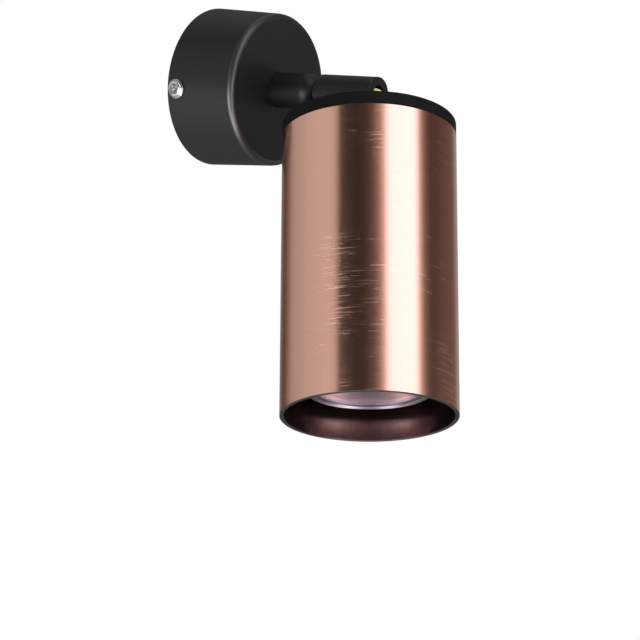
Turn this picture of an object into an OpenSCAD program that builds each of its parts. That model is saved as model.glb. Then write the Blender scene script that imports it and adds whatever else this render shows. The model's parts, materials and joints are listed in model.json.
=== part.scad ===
// Adjustable wall sconce: a round canopy on the wall, a swivelling arm and a tilting cylinder head
// with a reflector lamp. Millimetres. The wall is the plane Y = 0 and the object stands out along -Y.

/* [Pose] */
// Turn of the arm about its own axis, 0 with the head hanging plumb
swivel_deg = 20.8; // [-165:0.1:165]
// Tilt of the head out from the wall, 0 when it is square to the arm
tilt_deg = 15.8; // [-10:0.1:90]

/* [Canopy] */
// Outside diameter of the canopy at the wall
canopy_d = 65.7; // [62:0.1:90]
// Outside diameter of the canopy at its front face
canopy_front_d = 63.1; // [60:0.1:88]
// How far the canopy stands out from the wall
canopy_depth = 32.6; // [32:0.1:60]
// Wall thickness of the canopy
canopy_wall = 1.5; // [1:0.1:2.5]
// Radius round the front edge of the canopy
canopy_corner_r = 2.3; // [2.2:0.1:6]

/* [Wall bracket] */
// Thickness of the bracket's steel
bracket_t = 1.5; // [1:0.1:2]
// Height of the bracket's plate on the wall
bracket_h = 24; // [22:0.5:34]
// Width of the ears that take the side screws
ear_w = 12; // [10:0.5:16]
// Distance between the centres of the two wall slots
slot_spacing = 40; // [38:0.5:42]
// Length of a wall slot from end to end
slot_l = 12; // [6:0.5:13]
// Width of a wall slot
slot_w = 4.6; // [3.6:0.1:5.6]
// Diameter of the hole for the supply cable
cable_hole_d = 7; // [5:0.1:7.5]
// Distance of the side screws from the wall
side_screw_y = 4.6; // [4.1:0.1:7]
// Thread diameter of the side screws and of the earth screw
side_screw_d = 4; // [3:0.5:4.5]
// Head diameter of the side screws
side_head_d = 8; // [6:0.1:8.2]
// Head height of the side screws
side_head_h = 1.5; // [1.2:0.1:4]

/* [Terminal block] */
// Distance from pole to pole
pole_pitch = 8; // [7.5:0.1:8.4]
// Width of the block across the wires
block_w = 15; // [12:0.5:15]
// Height of the block above the bracket
block_h = 12; // [9:0.5:13]

/* [Hub collar] */
// Diameter of the collar and of the arm
arm_d = 14.7; // [13.6:0.1:17]
// Length of the collar's cylinder in front of the canopy
hub_l = 15.2; // [11:0.1:20]
// Length of the collar's round nose
hub_nose_l = 5.4; // [3:0.1:8]
// Diameter of the spigot that the arm turns on
spigot_d = 9.2; // [8.8:0.1:10]
// Length of the spigot beyond the nose
spigot_l = 10.2; // [8:0.1:14]
// Thread diameter of the hollow nipple
nipple_d = 10; // [8:0.5:10]
// Bore of the hollow nipple
nipple_bore = 6.5; // [5:0.1:7]
// Width across the flats of the thin nuts
nut_af = 14; // [12.5:0.5:15]
// Thickness of the thin nuts
nut_t = 4; // [2.5:0.5:5]
// Thickness of the toothed and spring washers
washer_t = 0.8; // [0.5:0.1:1.2]

/* [Arm] */
// Distance between the collar's nose and the arm
seam_gap = 2.5; // [0.3:0.1:4]
// Length of the arm
arm_l = 27.4; // [24:0.1:50]
// Bore of the arm at its open end
arm_bore_d = 8; // [7.8:0.1:8.4]
// Thickness of the inner web that the arm is held by
web_t = 2.5; // [1.5:0.1:4]
// Thread diameter of the hollow bolt that holds the arm
bolt_d = 6; // [5.6:0.1:6.2]
// Bore of the hollow bolt
bolt_bore = 4.2; // [4.1:0.1:4.6]
// Diameter of the pin that stops the turn
stop_pin_d = 1.5; // [1:0.1:2]
// Half the angle of the key that meets the stop pin
stop_key_deg = 5.5; // [3:0.5:10]

/* [Tilt joint] */
// Distance of the pivot screw below the arm's axis
pivot_drop = 2.6; // [2.4:0.1:3]
// Distance of the pivot screw from the open end of the arm
pivot_back = 3.7; // [3.6:0.1:6]
// Diameter of the pivot screw
pivot_d = 3; // [2.5:0.1:3.2]
// Thickness of the lug's tongue
tongue_t = 5; // [4:0.1:5.2]
// Radius of the tongue's round end
tongue_r = 3.2; // [2.8:0.1:3.3]
// Thickness of the washers beside the tongue
tilt_washer_t = 0.5; // [0.3:0.1:0.7]
// Distance from the pivot to the top of the head
lug_h = 10.7; // [10:0.1:20]
// Steepest tilt towards the wall
back_tilt_deg = 9; // [0:1:9]

/* [Head] */
// Outside diameter of the head
head_d = 70; // [64:0.5:90]
// Length of the coloured tube
tube_l = 117.2; // [105:0.1:180]
// Wall thickness of the tube
tube_wall = 1.7; // [1:0.1:3]
// Height of the cap's rim
cap_h = 5.2; // [3.5:0.1:8]
// Thickness of the cap's plate
cap_plate_t = 3; // [2:0.1:3.4]
// Depth of the spigot inside the tube
cap_spigot_l = 5.6; // [3:0.1:10]
// Thickness of the cap's spigot
cap_spigot_t = 2.8; // [1.5:0.1:4]

/* [Lamp] */
// Diameter of the lamp's rim
lamp_d = 50.8; // [49:0.1:51.5]
// How far the lamp's face lies inside the tube
lamp_recess = 10.5; // [2:0.1:20]
// Length of the lamp from its face to its base
lamp_l = 50; // [46:0.5:54]
// Height of the lamp's rim
lamp_rim_h = 4; // [3:0.1:6]
// Width of the ring round the lamp's glass
lamp_ring_w = 2.7; // [1.5:0.1:4]
// Thickness of the lamp's glass
lamp_glass_t = 1.2; // [1:0.1:2]
// Distance between the lamp's two pins
pin_pitch = 10; // [9.5:0.1:10.5]
// Diameter of the lamp's neck
neck_d = 23; // [20:0.5:24]

/* [Lamp holder] */
// Diameter of the ceramic holder
holder_d = 27; // [26:0.5:30]
// Height of the ceramic holder
holder_h = 21; // [16:0.5:24]
// Distance between the legs of the holder's bracket
leg_spacing = 34; // [33:0.5:40]
// Width of the bracket's strip
strip_w = 12; // [11:0.5:16]
// Thickness of the bracket's strip
strip_t = 1.2; // [0.8:0.1:2]

/* [Wires] */
// Outside diameter of a wire
wire_d = 1.8; // [1.4:0.1:1.8]

/* [Hidden] */

// Named clearances
run_gap = 0.05;      // turning fits, on the radius and between washers
thread_gap = 0.05;   // between a thread and its hole, on the radius
seat_gap = 0.05;     // push fits, on the radius
clear_gap = 0.3;     // pieces that pass each other
screw_clear = 0.2;   // between a screw and a hole that it passes through, on the radius
cut = 1;             // how far a cutter reaches past a face

// Distances from the wall along the arm's axis
canopy_inner_y = canopy_depth - canopy_wall;
nose_y = canopy_depth + hub_l;
neck_y = nose_y + hub_nose_l;
spigot_y = neck_y + spigot_l;
arm_y = neck_y + seam_gap;
arm_end_y = arm_y + arm_l;
web_y = spigot_y + tilt_washer_t + 2 * run_gap;
web_end_y = web_y + web_t;
bolt_head_y = web_end_y + washer_t + 2 * run_gap;
bolt_head_t = 2;
bolt_end_y = bolt_head_y + bolt_head_t;
pivot_y = arm_end_y - pivot_back;
nipple_end_y = nose_y - 1;
nipple_start_y = canopy_inner_y - washer_t - nut_t - 2;

// Heights in the head, measured down from the pivot
cap_rim_z = lug_h + cap_h;
plate_z = lug_h + cap_plate_t;
mouth_z = cap_rim_z + tube_l;
lamp_face_z = mouth_z - lamp_recess;
lamp_top_z = lamp_face_z - lamp_l;
holder_face_z = lamp_top_z - run_gap;
holder_back_z = holder_face_z - holder_h;
stub_end_z = plate_z + strip_t + washer_t + nut_t + 1;
spigot_end_z = cap_rim_z + cap_spigot_l;

canopy_r = canopy_d / 2;
canopy_front_r = canopy_front_d / 2;
arm_r = arm_d / 2;
head_r = head_d / 2;
tube_r = head_r - tube_wall;
bore_r = arm_bore_d / 2;
bolt_r = bolt_d / 2;
spigot_r = spigot_d / 2;
lamp_r = lamp_d / 2;
wire_r = wire_d / 2;

fine = 96;
medium = 48;
small = 32;

// The canopy's outer radius at a distance from the wall
function canopy_at(y) = canopy_r + (canopy_front_r - canopy_r) * y / (canopy_depth - canopy_corner_r);

// Points of an arc about a centre
function arc(c, r, a0, a1, n) = [for (i = [0:n]) let (a = a0 + (a1 - a0) * i / n) c + r * [cos(a), sin(a)]];

// A smooth curve through points: each stretch is cut in steps
function smooth(p, steps) = concat([for (i = [0:len(p) - 2], k = [0:steps - 1])
    let (a = p[max(i - 1, 0)], b = p[i], c = p[i + 1], d = p[min(i + 2, len(p) - 1)], t = k / steps)
    0.5 * (2 * b + (c - a) * t + (2 * a - 5 * b + 4 * c - d) * t * t + (3 * b - a - 3 * c + d) * t * t * t)],
    [p[len(p) - 1]]);
function unit(v) = v / norm(v);
function tangent(p, i) = unit(p[min(i + 1, len(p) - 1)] - p[max(i - 1, 0)]);

// A round tube of one diameter along a path of points, with flat ends
module sweep(path, d, sides = 8) {
    n = len(path);
    side = [1, 0.13, 0.21];
    rings = [for (i = [0:n - 1], k = [0:sides - 1])
        let (t = tangent(path, i), u = unit(cross(t, side)), v = cross(t, u), a = 360 * k / sides)
        path[i] + d / 2 * (u * cos(a) + v * sin(a))];
    polyhedron(rings, concat(
        [[for (k = [0:sides - 1]) k]],
        [for (i = [0:n - 2], k = [0:sides - 1]) let (m = (k + 1) % sides)
            [i * sides + k, (i + 1) * sides + k, (i + 1) * sides + m, i * sides + m]],
        [[for (k = [sides - 1:-1:0]) (n - 1) * sides + k]]), convexity = 6);
}

// Local frames. On the wall and on the arm: x across, y up, z out from the wall
module on_wall() { rotate([90, 0, 0]) children(); }
module on_arm() { rotate([0, swivel_deg, 0]) on_wall() children(); }
// On the head: z up along its axis from the pivot
module on_head() {
    rotate([0, swivel_deg, 0]) translate([0, -pivot_y, -pivot_drop]) rotate([-tilt_deg, 0, 0]) children();
}

module ring(r_out, r_in, h, fn = medium) {
    difference() {
        cylinder(h = h, r = r_out, $fn = fn);
        translate([0, 0, -cut]) cylinder(h = h + 2 * cut, r = r_in, $fn = fn);
    }
}
module hex_nut(af, bore_r, h) {
    difference() {
        cylinder(h = h, d = af / cos(30), $fn = 6);
        translate([0, 0, -cut]) cylinder(h = h + 2 * cut, r = bore_r, $fn = medium);
    }
}
// A hole with round ends, running along x
module oblong(l, w, h) {
    translate([-(l - w) / 2, -w / 2, 0]) cube([l - w, w, h]);
    for (s = [-1, 1]) translate([s * (l - w) / 2, 0, 0]) cylinder(h = h, d = w, $fn = small);
}
// A screw standing on its thread's end, with a cross recess in a domed pan head
module cross_screw(d, l, head_d, head_h) {
    edge = head_h * 0.35;
    difference() {
        union() {
            cylinder(h = l + head_h / 2, d = d, $fn = small);
            translate([0, 0, l]) rotate_extrude($fn = medium) polygon(concat([[0, 0], [head_d / 2, 0]],
                [for (i = [0:5]) let (a = 90 * i / 5)
                    [head_d * (0.3 + 0.2 * cos(a)), edge + (head_h - edge) * sin(a)]],
                [[0, head_h]]));
        }
        for (a = [0, 90]) rotate([0, 0, a]) translate([-head_d * 0.28, -head_d * 0.06, l + head_h * 0.4])
            cube([head_d * 0.56, head_d * 0.12, head_h]);
    }
}

// Canopy: a drawn cup with a slight draft, a round front edge and a hole for the nipple
module canopy() {
    inner_r = max(canopy_corner_r - canopy_wall, 0.3);
    corner = [canopy_front_r - canopy_corner_r, canopy_depth - canopy_corner_r];
    color("#2b2b2c") on_wall() difference() {
        rotate_extrude($fn = fine) polygon(concat(
            [[canopy_r - canopy_wall, 0], [canopy_r, 0]],
            arc(corner, canopy_corner_r, 0, 90, 8),
            [[nipple_d / 2 + screw_clear, canopy_depth], [nipple_d / 2 + screw_clear, canopy_inner_y]],
            arc(corner, inner_r, 90, 0, 6)));
        for (s = [-1, 1]) translate([s * canopy_r, 0, side_screw_y]) rotate([0, s * 90, 0])
            translate([0, 0, -canopy_wall * 3])
            cylinder(h = canopy_wall * 6, r = side_screw_d / 2 + screw_clear, $fn = small);
    }
}

// The ears' outer faces stay just inside the canopy
ear_x = sqrt(pow(canopy_at(side_screw_y + side_screw_d) - canopy_wall, 2) - ear_w * ear_w / 4) - clear_gap;
ear_l = side_screw_y + side_screw_d;
block_l = 3 * pole_pitch;
block_y = -bracket_h / 2 + block_w / 2;
block_screw_x = pole_pitch / 2;
upper_row_y = bracket_h / 2 - cable_hole_d / 2 - 1;
earth_x = -(cable_hole_d / 2 + side_screw_d + 3);
block_screw_d = 3;

// Mounting bracket: a steel plate on the wall with two slots and two turned ears
module mounting_bracket() {
    color("#b9bcc0") on_wall() difference() {
        union() {
            // The plate's corners follow the round of the canopy
            intersection() {
                translate([-ear_x, -bracket_h / 2, 0]) cube([2 * ear_x, bracket_h, bracket_t]);
                cylinder(h = bracket_t, r = canopy_at(bracket_t) - canopy_wall - clear_gap, $fn = fine);
            }
            for (s = [-1, 1]) translate([s * (ear_x - bracket_t / 2), 0, ear_l / 2])
                cube([bracket_t, ear_w, ear_l], center = true);
        }
        for (s = [-1, 1]) {
            translate([s * slot_spacing / 2, 0, -cut]) oblong(slot_l, slot_w, bracket_t + 2 * cut);
            translate([s * (ear_x - 2 * bracket_t), 0, side_screw_y]) rotate([0, s * 90, 0])
                cylinder(h = 4 * bracket_t, r = side_screw_d / 2 + thread_gap, $fn = small);
        }
        translate([0, upper_row_y, -cut]) cylinder(h = bracket_t + 2 * cut, d = cable_hole_d, $fn = medium);
        translate([earth_x, upper_row_y, -cut])
            cylinder(h = bracket_t + 2 * cut, r = side_screw_d / 2 + thread_gap, $fn = small);
        translate([block_screw_x, block_y, -cut])
            cylinder(h = bracket_t + 2 * cut, r = block_screw_d / 2 + thread_gap, $fn = small);
    }
}

// Two pan head screws through the canopy's side into the ears
module canopy_screws() {
    seat_x = canopy_at(side_screw_y - side_head_d / 2);
    shank = seat_x - ear_x + bracket_t + 1;
    color("#d9dbde") on_wall() for (s = [-1, 1])
        translate([s * (seat_x - shank), 0, side_screw_y]) rotate([0, s * 90, 0]) rotate([0, 0, 45])
            cross_screw(side_screw_d, shank, side_head_d, side_head_h);
}

block_base_h = block_h * 0.55;
tube_row_z = bracket_t + block_h * 0.36;
tube_bore_d = 3.2;
tube_od = 5;
clamp_d = 3;

// Terminal block: a moulded three-pole strip with a barrel over each pole
module terminal_block() {
    color("#ececE6") on_wall() translate([0, block_y, bracket_t]) difference() {
        union() {
            translate([-block_l / 2, -block_w / 2, 0]) cube([block_l, block_w, block_base_h]);
            for (i = [-1:1], s = [-1, 1]) translate([i * pole_pitch, s * block_w / 4, 0])
                cylinder(h = block_h, d = pole_pitch * 0.78, $fn = small);
        }
        for (i = [-1:1]) {
            translate([i * pole_pitch, block_w / 2 + cut, tube_row_z - bracket_t]) rotate([90, 0, 0])
                cylinder(h = block_w + 2 * cut, r = tube_od / 2 + seat_gap, $fn = small);
            for (s = [-1, 1]) translate([i * pole_pitch, s * block_w / 4, tube_row_z - bracket_t])
                cylinder(h = block_h, r = clamp_d / 2 + screw_clear, $fn = small);
        }
        translate([block_screw_x, 0, -cut])
            cylinder(h = block_h + 2 * cut, r = block_screw_d / 2 + screw_clear, $fn = small);
    }
}

// The brass tubes that the wires are clamped in
module terminal_tubes() {
    tube_len = block_w - 3;
    color("#c9a553") on_wall() for (i = [-1:1])
    translate([i * pole_pitch, block_y, tube_row_z]) difference() {
        translate([0, tube_len / 2, 0]) rotate([90, 0, 0])
            cylinder(h = tube_len, d = tube_od, $fn = small);
        translate([0, tube_len / 2 + cut, 0]) rotate([90, 0, 0])
            cylinder(h = tube_len + 2 * cut, d = tube_bore_d, $fn = small);
        for (s = [-1, 1]) translate([0, s * block_w / 4, 0])
            cylinder(h = tube_od, r = clamp_d / 2 + thread_gap, $fn = small);
    }
}

// Slotted clamp screws, sunk in the barrels
module terminal_screws() {
    screw_l = block_h * 0.36;
    color("#c4c6ca") on_wall() for (i = [-1:1], s = [-1, 1])
        translate([i * pole_pitch, block_y + s * block_w / 4, tube_row_z + wire_r]) difference() {
            cylinder(h = screw_l, d = clamp_d, $fn = small);
            translate([-clamp_d, -0.3, screw_l - 0.8]) cube([2 * clamp_d, 0.6, 2]);
        }
}

// Screw between two poles: holds the block on the bracket
module block_screw() {
    color("#c4c6ca") on_wall() translate([block_screw_x, block_y, 0])
        cross_screw(block_screw_d, bracket_t + block_base_h, block_screw_d + 1.4, 1.6);
}

earth_washer_t = 0.8;

module earth_screw() {
    shank = bracket_t + earth_washer_t + wire_d + 0.2;
    color("#c9a553") on_wall() translate([earth_x, upper_row_y, 0])
        cross_screw(side_screw_d, shank, side_screw_d + 3, 2.2);
}

module earth_washer() {
    color("#d0d2d6") on_wall() translate([earth_x, upper_row_y, bracket_t])
        ring(side_screw_d / 2 + 2, side_screw_d / 2 + screw_clear, earth_washer_t);
}

// Hub collar: turned, with a nose that rounds down to the spigot that the arm turns on
module hub_collar() {
    shoulder = 0.25;
    nose_drop = arm_r - spigot_r - shoulder;
    nose_r = (hub_nose_l * hub_nose_l + nose_drop * nose_drop) / (2 * nose_drop);
    nose = arc([arm_r - nose_r, nose_y], nose_r, 0, acos(1 - nose_drop / nose_r), 10);
    color("#232324") on_wall() difference() {
        rotate_extrude($fn = fine) polygon(concat(
            [[0, canopy_depth], [arm_r, canopy_depth]], nose,
            [[spigot_r, neck_y], [spigot_r, spigot_y], [0, spigot_y]]));
        translate([0, 0, canopy_depth - cut]) cylinder(h = nipple_end_y + clear_gap - canopy_depth + cut,
            r = nipple_d / 2 + thread_gap, $fn = medium);
        translate([0, 0, canopy_depth]) cylinder(h = spigot_y, r = bolt_r + thread_gap, $fn = medium);
        translate([0, 0, stop_pin_y]) rotate([-90, 0, 0])
            cylinder(h = arm_r, r = stop_pin_d / 2 + seat_gap, $fn = small);
    }
}

stop_pin_y = arm_y + 3;
bolt_start_y = stop_pin_y - stop_pin_d;
stop_groove_r = spigot_r + 1.2;
stop_groove_w = stop_pin_d + 2 * clear_gap;

module hollow_nipple() {
    color("#c9a553") on_wall() translate([0, 0, nipple_start_y])
        ring(nipple_d / 2, nipple_bore / 2, nipple_end_y - nipple_start_y);
}

module nipple_nut() {
    color("#c9a553") on_wall() translate([0, 0, canopy_inner_y - washer_t - nut_t])
        hex_nut(nut_af, nipple_d / 2 + thread_gap, nut_t);
}

// Toothed lock washer under the nut
module nipple_washer() {
    color("#d0d2d6") on_wall() translate([0, 0, canopy_inner_y - washer_t]) difference() {
        ring(nut_af / 2 + 0.8, nipple_d / 2 + screw_clear, washer_t);
        for (a = [0:30:330]) rotate([0, 0, a]) translate([nut_af / 2 - 0.2, -0.4, -cut])
            cube([3, 0.8, washer_t + 2 * cut]);
    }
}

// Hollow flanged bolt: holds the arm's web against the spigot and lets the wires through
module retaining_bolt() {
    color("#c9a553") on_wall() difference() {
        union() {
            translate([0, 0, bolt_head_y]) cylinder(h = bolt_head_t, r = bore_r - clear_gap, $fn = medium);
            translate([0, 0, bolt_start_y])
                cylinder(h = bolt_end_y - bolt_head_t / 2 - bolt_start_y, r = bolt_r, $fn = medium);
        }
        cylinder(h = arm_end_y, d = bolt_bore, $fn = medium);
    }
}

// Nylon washer between the spigot's end and the arm's web
module friction_washer() {
    color("#e6e2d2") on_wall() translate([0, 0, spigot_y + run_gap])
        ring(spigot_r - 0.2, bolt_r + run_gap, tilt_washer_t);
}

module wave_washer() {
    color("#c4c6ca") on_wall() translate([0, 0, web_end_y + run_gap])
        ring(bore_r - clear_gap - 0.1, bolt_r + run_gap, washer_t);
}

// Pin pressed in the spigot: meets the arm's key at both ends of the turn
module stop_pin() {
    color("#c4c6ca") on_wall() translate([0, 0, stop_pin_y]) rotate([-90, 0, 0])
        translate([0, 0, bolt_r + thread_gap + 0.1])
        cylinder(h = stop_groove_r - clear_gap - bolt_r - thread_gap - 0.1, d = stop_pin_d, $fn = small);
}

slot_half = tongue_t / 2 + tilt_washer_t + 2 * run_gap;
slot_top = -pivot_drop + tongue_r + clear_gap;
slot_back = tongue_r / cos(back_tilt_deg) + (arm_r - pivot_drop) * tan(back_tilt_deg) + clear_gap;
pivot_half = sqrt(arm_r * arm_r - pivot_drop * pivot_drop);
pivot_head_r = 2.7;
pivot_head_h = 1.7;
head_sink = 0.2;
socket_d = 2.3;
socket_depth = 0.9;
blind_wall = 1.3;

// Arm: a turned tube with a counterbore for the spigot and a slotted fork for the lug
module arm_tube() {
    edge = 0.5;
    color("#2b2b2c") on_arm() difference() {
        rotate_extrude($fn = fine) polygon(concat(
            [[0, arm_y], [arm_r, arm_y]],
            arc([arm_r - edge, arm_end_y - edge], edge, 0, 90, 4), [[0, arm_end_y]]));
        // Counterbore, web and open bore
        translate([0, 0, arm_y - cut]) cylinder(h = web_y - arm_y + cut, r = spigot_r + run_gap, $fn = fine);
        translate([0, 0, arm_y]) cylinder(h = arm_l, r = bolt_r + run_gap, $fn = medium);
        translate([0, 0, web_end_y]) cylinder(h = arm_l, r = bore_r, $fn = fine);
        // Groove of the stop pin, open all round but for the key
        translate([0, 0, stop_pin_y - stop_groove_w / 2]) rotate([0, 0, -90 + stop_key_deg])
            rotate_extrude(angle = 360 - 2 * stop_key_deg, $fn = fine)
            translate([spigot_r - 0.5, 0]) square([stop_groove_r - spigot_r + 0.5, stop_groove_w]);
        // Slot of the fork, open below and in front
        translate([-slot_half, -arm_d, pivot_y - slot_back])
            cube([2 * slot_half, arm_d + slot_top, slot_back + pivot_back + cut]);
        // Pivot screw: through one ear with a sunk head, blind in the other
        translate([0, -pivot_drop, pivot_y]) rotate([0, 90, 0]) {
            cylinder(h = arm_d, r = pivot_d / 2 + thread_gap, $fn = small);
            translate([0, 0, pivot_half - pivot_head_h])
                cylinder(h = arm_d, r = pivot_head_r + screw_clear, $fn = small);
            translate([0, 0, -pivot_half + blind_wall])
                cylinder(h = pivot_half, r = pivot_d / 2 + thread_gap, $fn = small);
        }
    }
}

module pivot_screw() {
    color("#3a3a3c") on_arm() translate([0, -pivot_drop, pivot_y]) rotate([0, 90, 0]) difference() {
        union() {
            translate([0, 0, -pivot_half + blind_wall + clear_gap])
                cylinder(h = 2 * pivot_half - blind_wall - clear_gap - pivot_head_h + 0.5, d = pivot_d,
                    $fn = small);
            translate([0, 0, pivot_half - pivot_head_h])
                cylinder(h = pivot_head_h - head_sink, r = pivot_head_r, $fn = medium);
        }
        translate([0, 0, pivot_half - head_sink - socket_depth]) cylinder(h = 2, d = socket_d, $fn = 6);
    }
}

module tilt_washers() {
    color("#e6e2d2") on_arm() translate([0, -pivot_drop, pivot_y]) rotate([0, 90, 0]) for (s = [-1, 1])
        translate([0, 0, s * (tongue_t / 2 + run_gap + tilt_washer_t / 2) - tilt_washer_t / 2])
            ring(tongue_r - 0.2, pivot_d / 2 + run_gap, tilt_washer_t, small);
}

stub_r = nipple_d / 2;
wire_way_r = wire_r + 0.35;
wire_way_x = 4.5;
wire_way_y = 1.7;
wire_way_lean = 27;
shoulder_z = max(norm([arm_r - pivot_drop, pivot_back]) + 0.6, 6.4);
wire_way_l = lug_h - shoulder_z + 2.2;

// Tilt lug: a tongue for the fork, a round foot on the cap and a hollow threaded stub
module tilt_lug() {
    color("#232324") on_head() difference() {
        union() {
            rotate([0, 90, 0]) cylinder(h = tongue_t, r = tongue_r, center = true, $fn = medium);
            translate([-tongue_t / 2, -tongue_r, -shoulder_z - 0.5])
                cube([tongue_t, 2 * tongue_r, shoulder_z + 0.5]);
            translate([0, 0, -lug_h]) cylinder(h = lug_h - shoulder_z, r = arm_r, $fn = fine);
            translate([0, 0, -stub_end_z]) cylinder(h = stub_end_z - lug_h + 0.5, r = stub_r, $fn = medium);
        }
        rotate([0, 90, 0]) cylinder(h = 2 * tongue_t, r = pivot_d / 2 + run_gap, center = true, $fn = small);
        translate([0, 0, -stub_end_z - cut])
            cylinder(h = stub_end_z - lug_h + 1.4 + cut, r = nipple_bore / 2, $fn = medium);
        for (s = [-1, 1], k = [-1, 1]) translate([s * wire_way_x, k * wire_way_y, -shoulder_z])
            rotate([0, s * wire_way_lean, 0]) translate([0, 0, -wire_way_l])
            cylinder(h = 2 * wire_way_l, r = wire_way_r, $fn = small);
    }
}

module lug_washer() {
    color("#c4c6ca") on_head() translate([0, 0, -plate_z - strip_t - washer_t])
        ring(nut_af / 2, stub_r + screw_clear, washer_t);
}

module lug_nut() {
    color("#c9a553") on_head() translate([0, 0, -plate_z - strip_t - washer_t - nut_t])
        hex_nut(nut_af, stub_r + thread_gap, nut_t);
}

// Top cap: a turned plate with a rim on the tube and a spigot inside it
module top_cap() {
    edge = 0.5;
    inner_r = tube_r - seat_gap;
    color("#2b2b2c") on_head() difference() {
        rotate_extrude($fn = fine) polygon(concat(
            [[stub_r + screw_clear, -plate_z], [stub_r + screw_clear, -lug_h]],
            arc([head_r - edge, -lug_h - edge], edge, 90, 0, 4),
            [[head_r, -cap_rim_z], [inner_r, -cap_rim_z], [inner_r, -spigot_end_z + 0.5],
             [inner_r - 0.5, -spigot_end_z], [inner_r - cap_spigot_t, -spigot_end_z],
             [inner_r - cap_spigot_t, -plate_z]]));
    }
}

// Head tube: straight, open at both ends, with broken edges
module head_tube() {
    edge = 0.25;
    color("#a9694f") on_head() rotate_extrude($fn = fine) polygon([
        [tube_r, -mouth_z + edge], [tube_r + edge, -mouth_z], [head_r - edge, -mouth_z],
        [head_r, -mouth_z + edge], [head_r, -cap_rim_z], [tube_r, -cap_rim_z]]);
}

leg_x = leg_spacing / 2;
foot_z = holder_back_z;
holder_screw_d = 3;
small_head_d = 1.8 * holder_screw_d;
small_head_h = 0.6 * holder_screw_d;
holder_thread_l = holder_h * 0.24;
holder_screw_x = holder_d / 2 - holder_screw_d / 2 - 1;
foot_in_x = holder_screw_x - holder_screw_d - 0.8;

// Holder bracket: one strip bent to an arch under the cap, with two inturned feet on the holder
module holder_bracket() {
    bend = strip_t + 0.8;
    color("#c4c6ca") on_head() difference() {
        translate([0, strip_w / 2, 0]) rotate([90, 0, 0]) linear_extrude(strip_w) difference() {
            union() {
                for (s = [-1, 1]) {
                    translate([s * (leg_x - strip_t / 2) - strip_t / 2, -foot_z])
                        square([strip_t, foot_z - plate_z - bend]);
                    translate([s > 0 ? foot_in_x : -leg_x, -foot_z]) square([leg_x - foot_in_x, strip_t]);
                    translate([s * (leg_x - bend), -plate_z - bend]) intersection() {
                        difference() {
                            circle(bend, $fn = small);
                            circle(bend - strip_t, $fn = small);
                        }
                        translate([s > 0 ? 0 : -bend, 0]) square([bend, bend]);
                    }
                }
                translate([-leg_x + bend, -plate_z - strip_t]) square([leg_spacing - 2 * bend, strip_t]);
            }
        }
        translate([0, 0, -plate_z - strip_t - cut])
            cylinder(h = strip_t + 2 * cut, r = stub_r + screw_clear, $fn = medium);
        for (s = [-1, 1]) translate([s * holder_screw_x, 0, -foot_z - cut])
            cylinder(h = strip_t + 2 * cut, r = holder_screw_d / 2 + screw_clear, $fn = small);
        translate([0, 0, tag_z]) rotate([0, 90, 0])
            cylinder(h = leg_spacing, r = holder_screw_d / 2 + thread_gap, $fn = small);
    }
}

tag_z = -(plate_z + foot_z) / 2;
pin_d = 5;
pin_neck_d = 3.4;
pin_root_l = 2.8;
pin_head_l = 2.5;
pin_l = 7;
contact_t = 1;
twist_deg = 40;
lip_t = pin_l - pin_head_l - 0.2;

// One way of the twist lock, as the cutter leaves it: the pin goes in at the round hole, turns
// along the arc and ends with its wide head behind the lip
module twist_way() {
    way_r = pin_d / 2 + clear_gap;
    slot_w = pin_neck_d + 2 * clear_gap;
    depth = pin_l + contact_t + 0.5;
    translate([0, 0, -holder_face_z - cut]) {
        rotate([0, 0, -twist_deg]) translate([pin_pitch / 2, 0, 0])
            cylinder(h = depth + cut, r = way_r, $fn = small);
        translate([pin_pitch / 2, 0, 0]) cylinder(h = depth, r = slot_w / 2, $fn = small);
        rotate([0, 0, -twist_deg]) rotate_extrude(angle = twist_deg, $fn = fine)
            translate([(pin_pitch - slot_w) / 2, 0]) square([slot_w, depth]);
    }
    translate([0, 0, -holder_face_z + lip_t]) {
        translate([pin_pitch / 2, 0, 0]) cylinder(h = depth - lip_t, r = way_r, $fn = small);
        rotate([0, 0, -twist_deg]) rotate_extrude(angle = twist_deg, $fn = fine)
            translate([pin_pitch / 2 - way_r, 0]) square([2 * way_r, depth - lip_t]);
    }
}

// Lamp holder: a ceramic body with a twist lock in its face and tapped holes in its back
module lamp_holder() {
    groove = 1.2;
    color("#efece4") on_head() difference() {
        rotate_extrude($fn = fine) polygon([
            [0, -holder_face_z], [holder_d / 2 - 1, -holder_face_z], [holder_d / 2, -holder_face_z + 1],
            [holder_d / 2, -holder_back_z - 9], [holder_d / 2 - groove, -holder_back_z - 8],
            [holder_d / 2 - groove, -holder_back_z - 0.8], [holder_d / 2 - groove - 0.8, -holder_back_z],
            [0, -holder_back_z]]);
        for (a = [0, 180]) rotate([0, 0, a]) twist_way();
        for (s = [-1, 1]) {
            translate([s * holder_screw_x, 0, -holder_back_z - holder_thread_l - cut])
                cylinder(h = holder_thread_l + 2 * cut, r = holder_screw_d / 2 + thread_gap, $fn = small);
            translate([s * pin_pitch / 2, 0, -holder_back_z - holder_thread_l])
                cylinder(h = holder_thread_l + cut, r = wire_r + screw_clear, $fn = small);
        }
    }
}

module holder_screws() {
    color("#c4c6ca") on_head() for (s = [-1, 1])
        translate([s * holder_screw_x, 0, -foot_z - holder_thread_l])
            cross_screw(holder_screw_d, holder_thread_l + strip_t, small_head_d, small_head_h);
}

// Spring contacts at the bottom of the pin holes
module holder_contacts() {
    color("#c9a553") on_head() for (s = [-1, 1])
        translate([s * pin_pitch / 2, 0, -holder_face_z + pin_l + 0.2])
            cylinder(h = contact_t, r = pin_d / 2 - 0.2, $fn = small);
}

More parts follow.
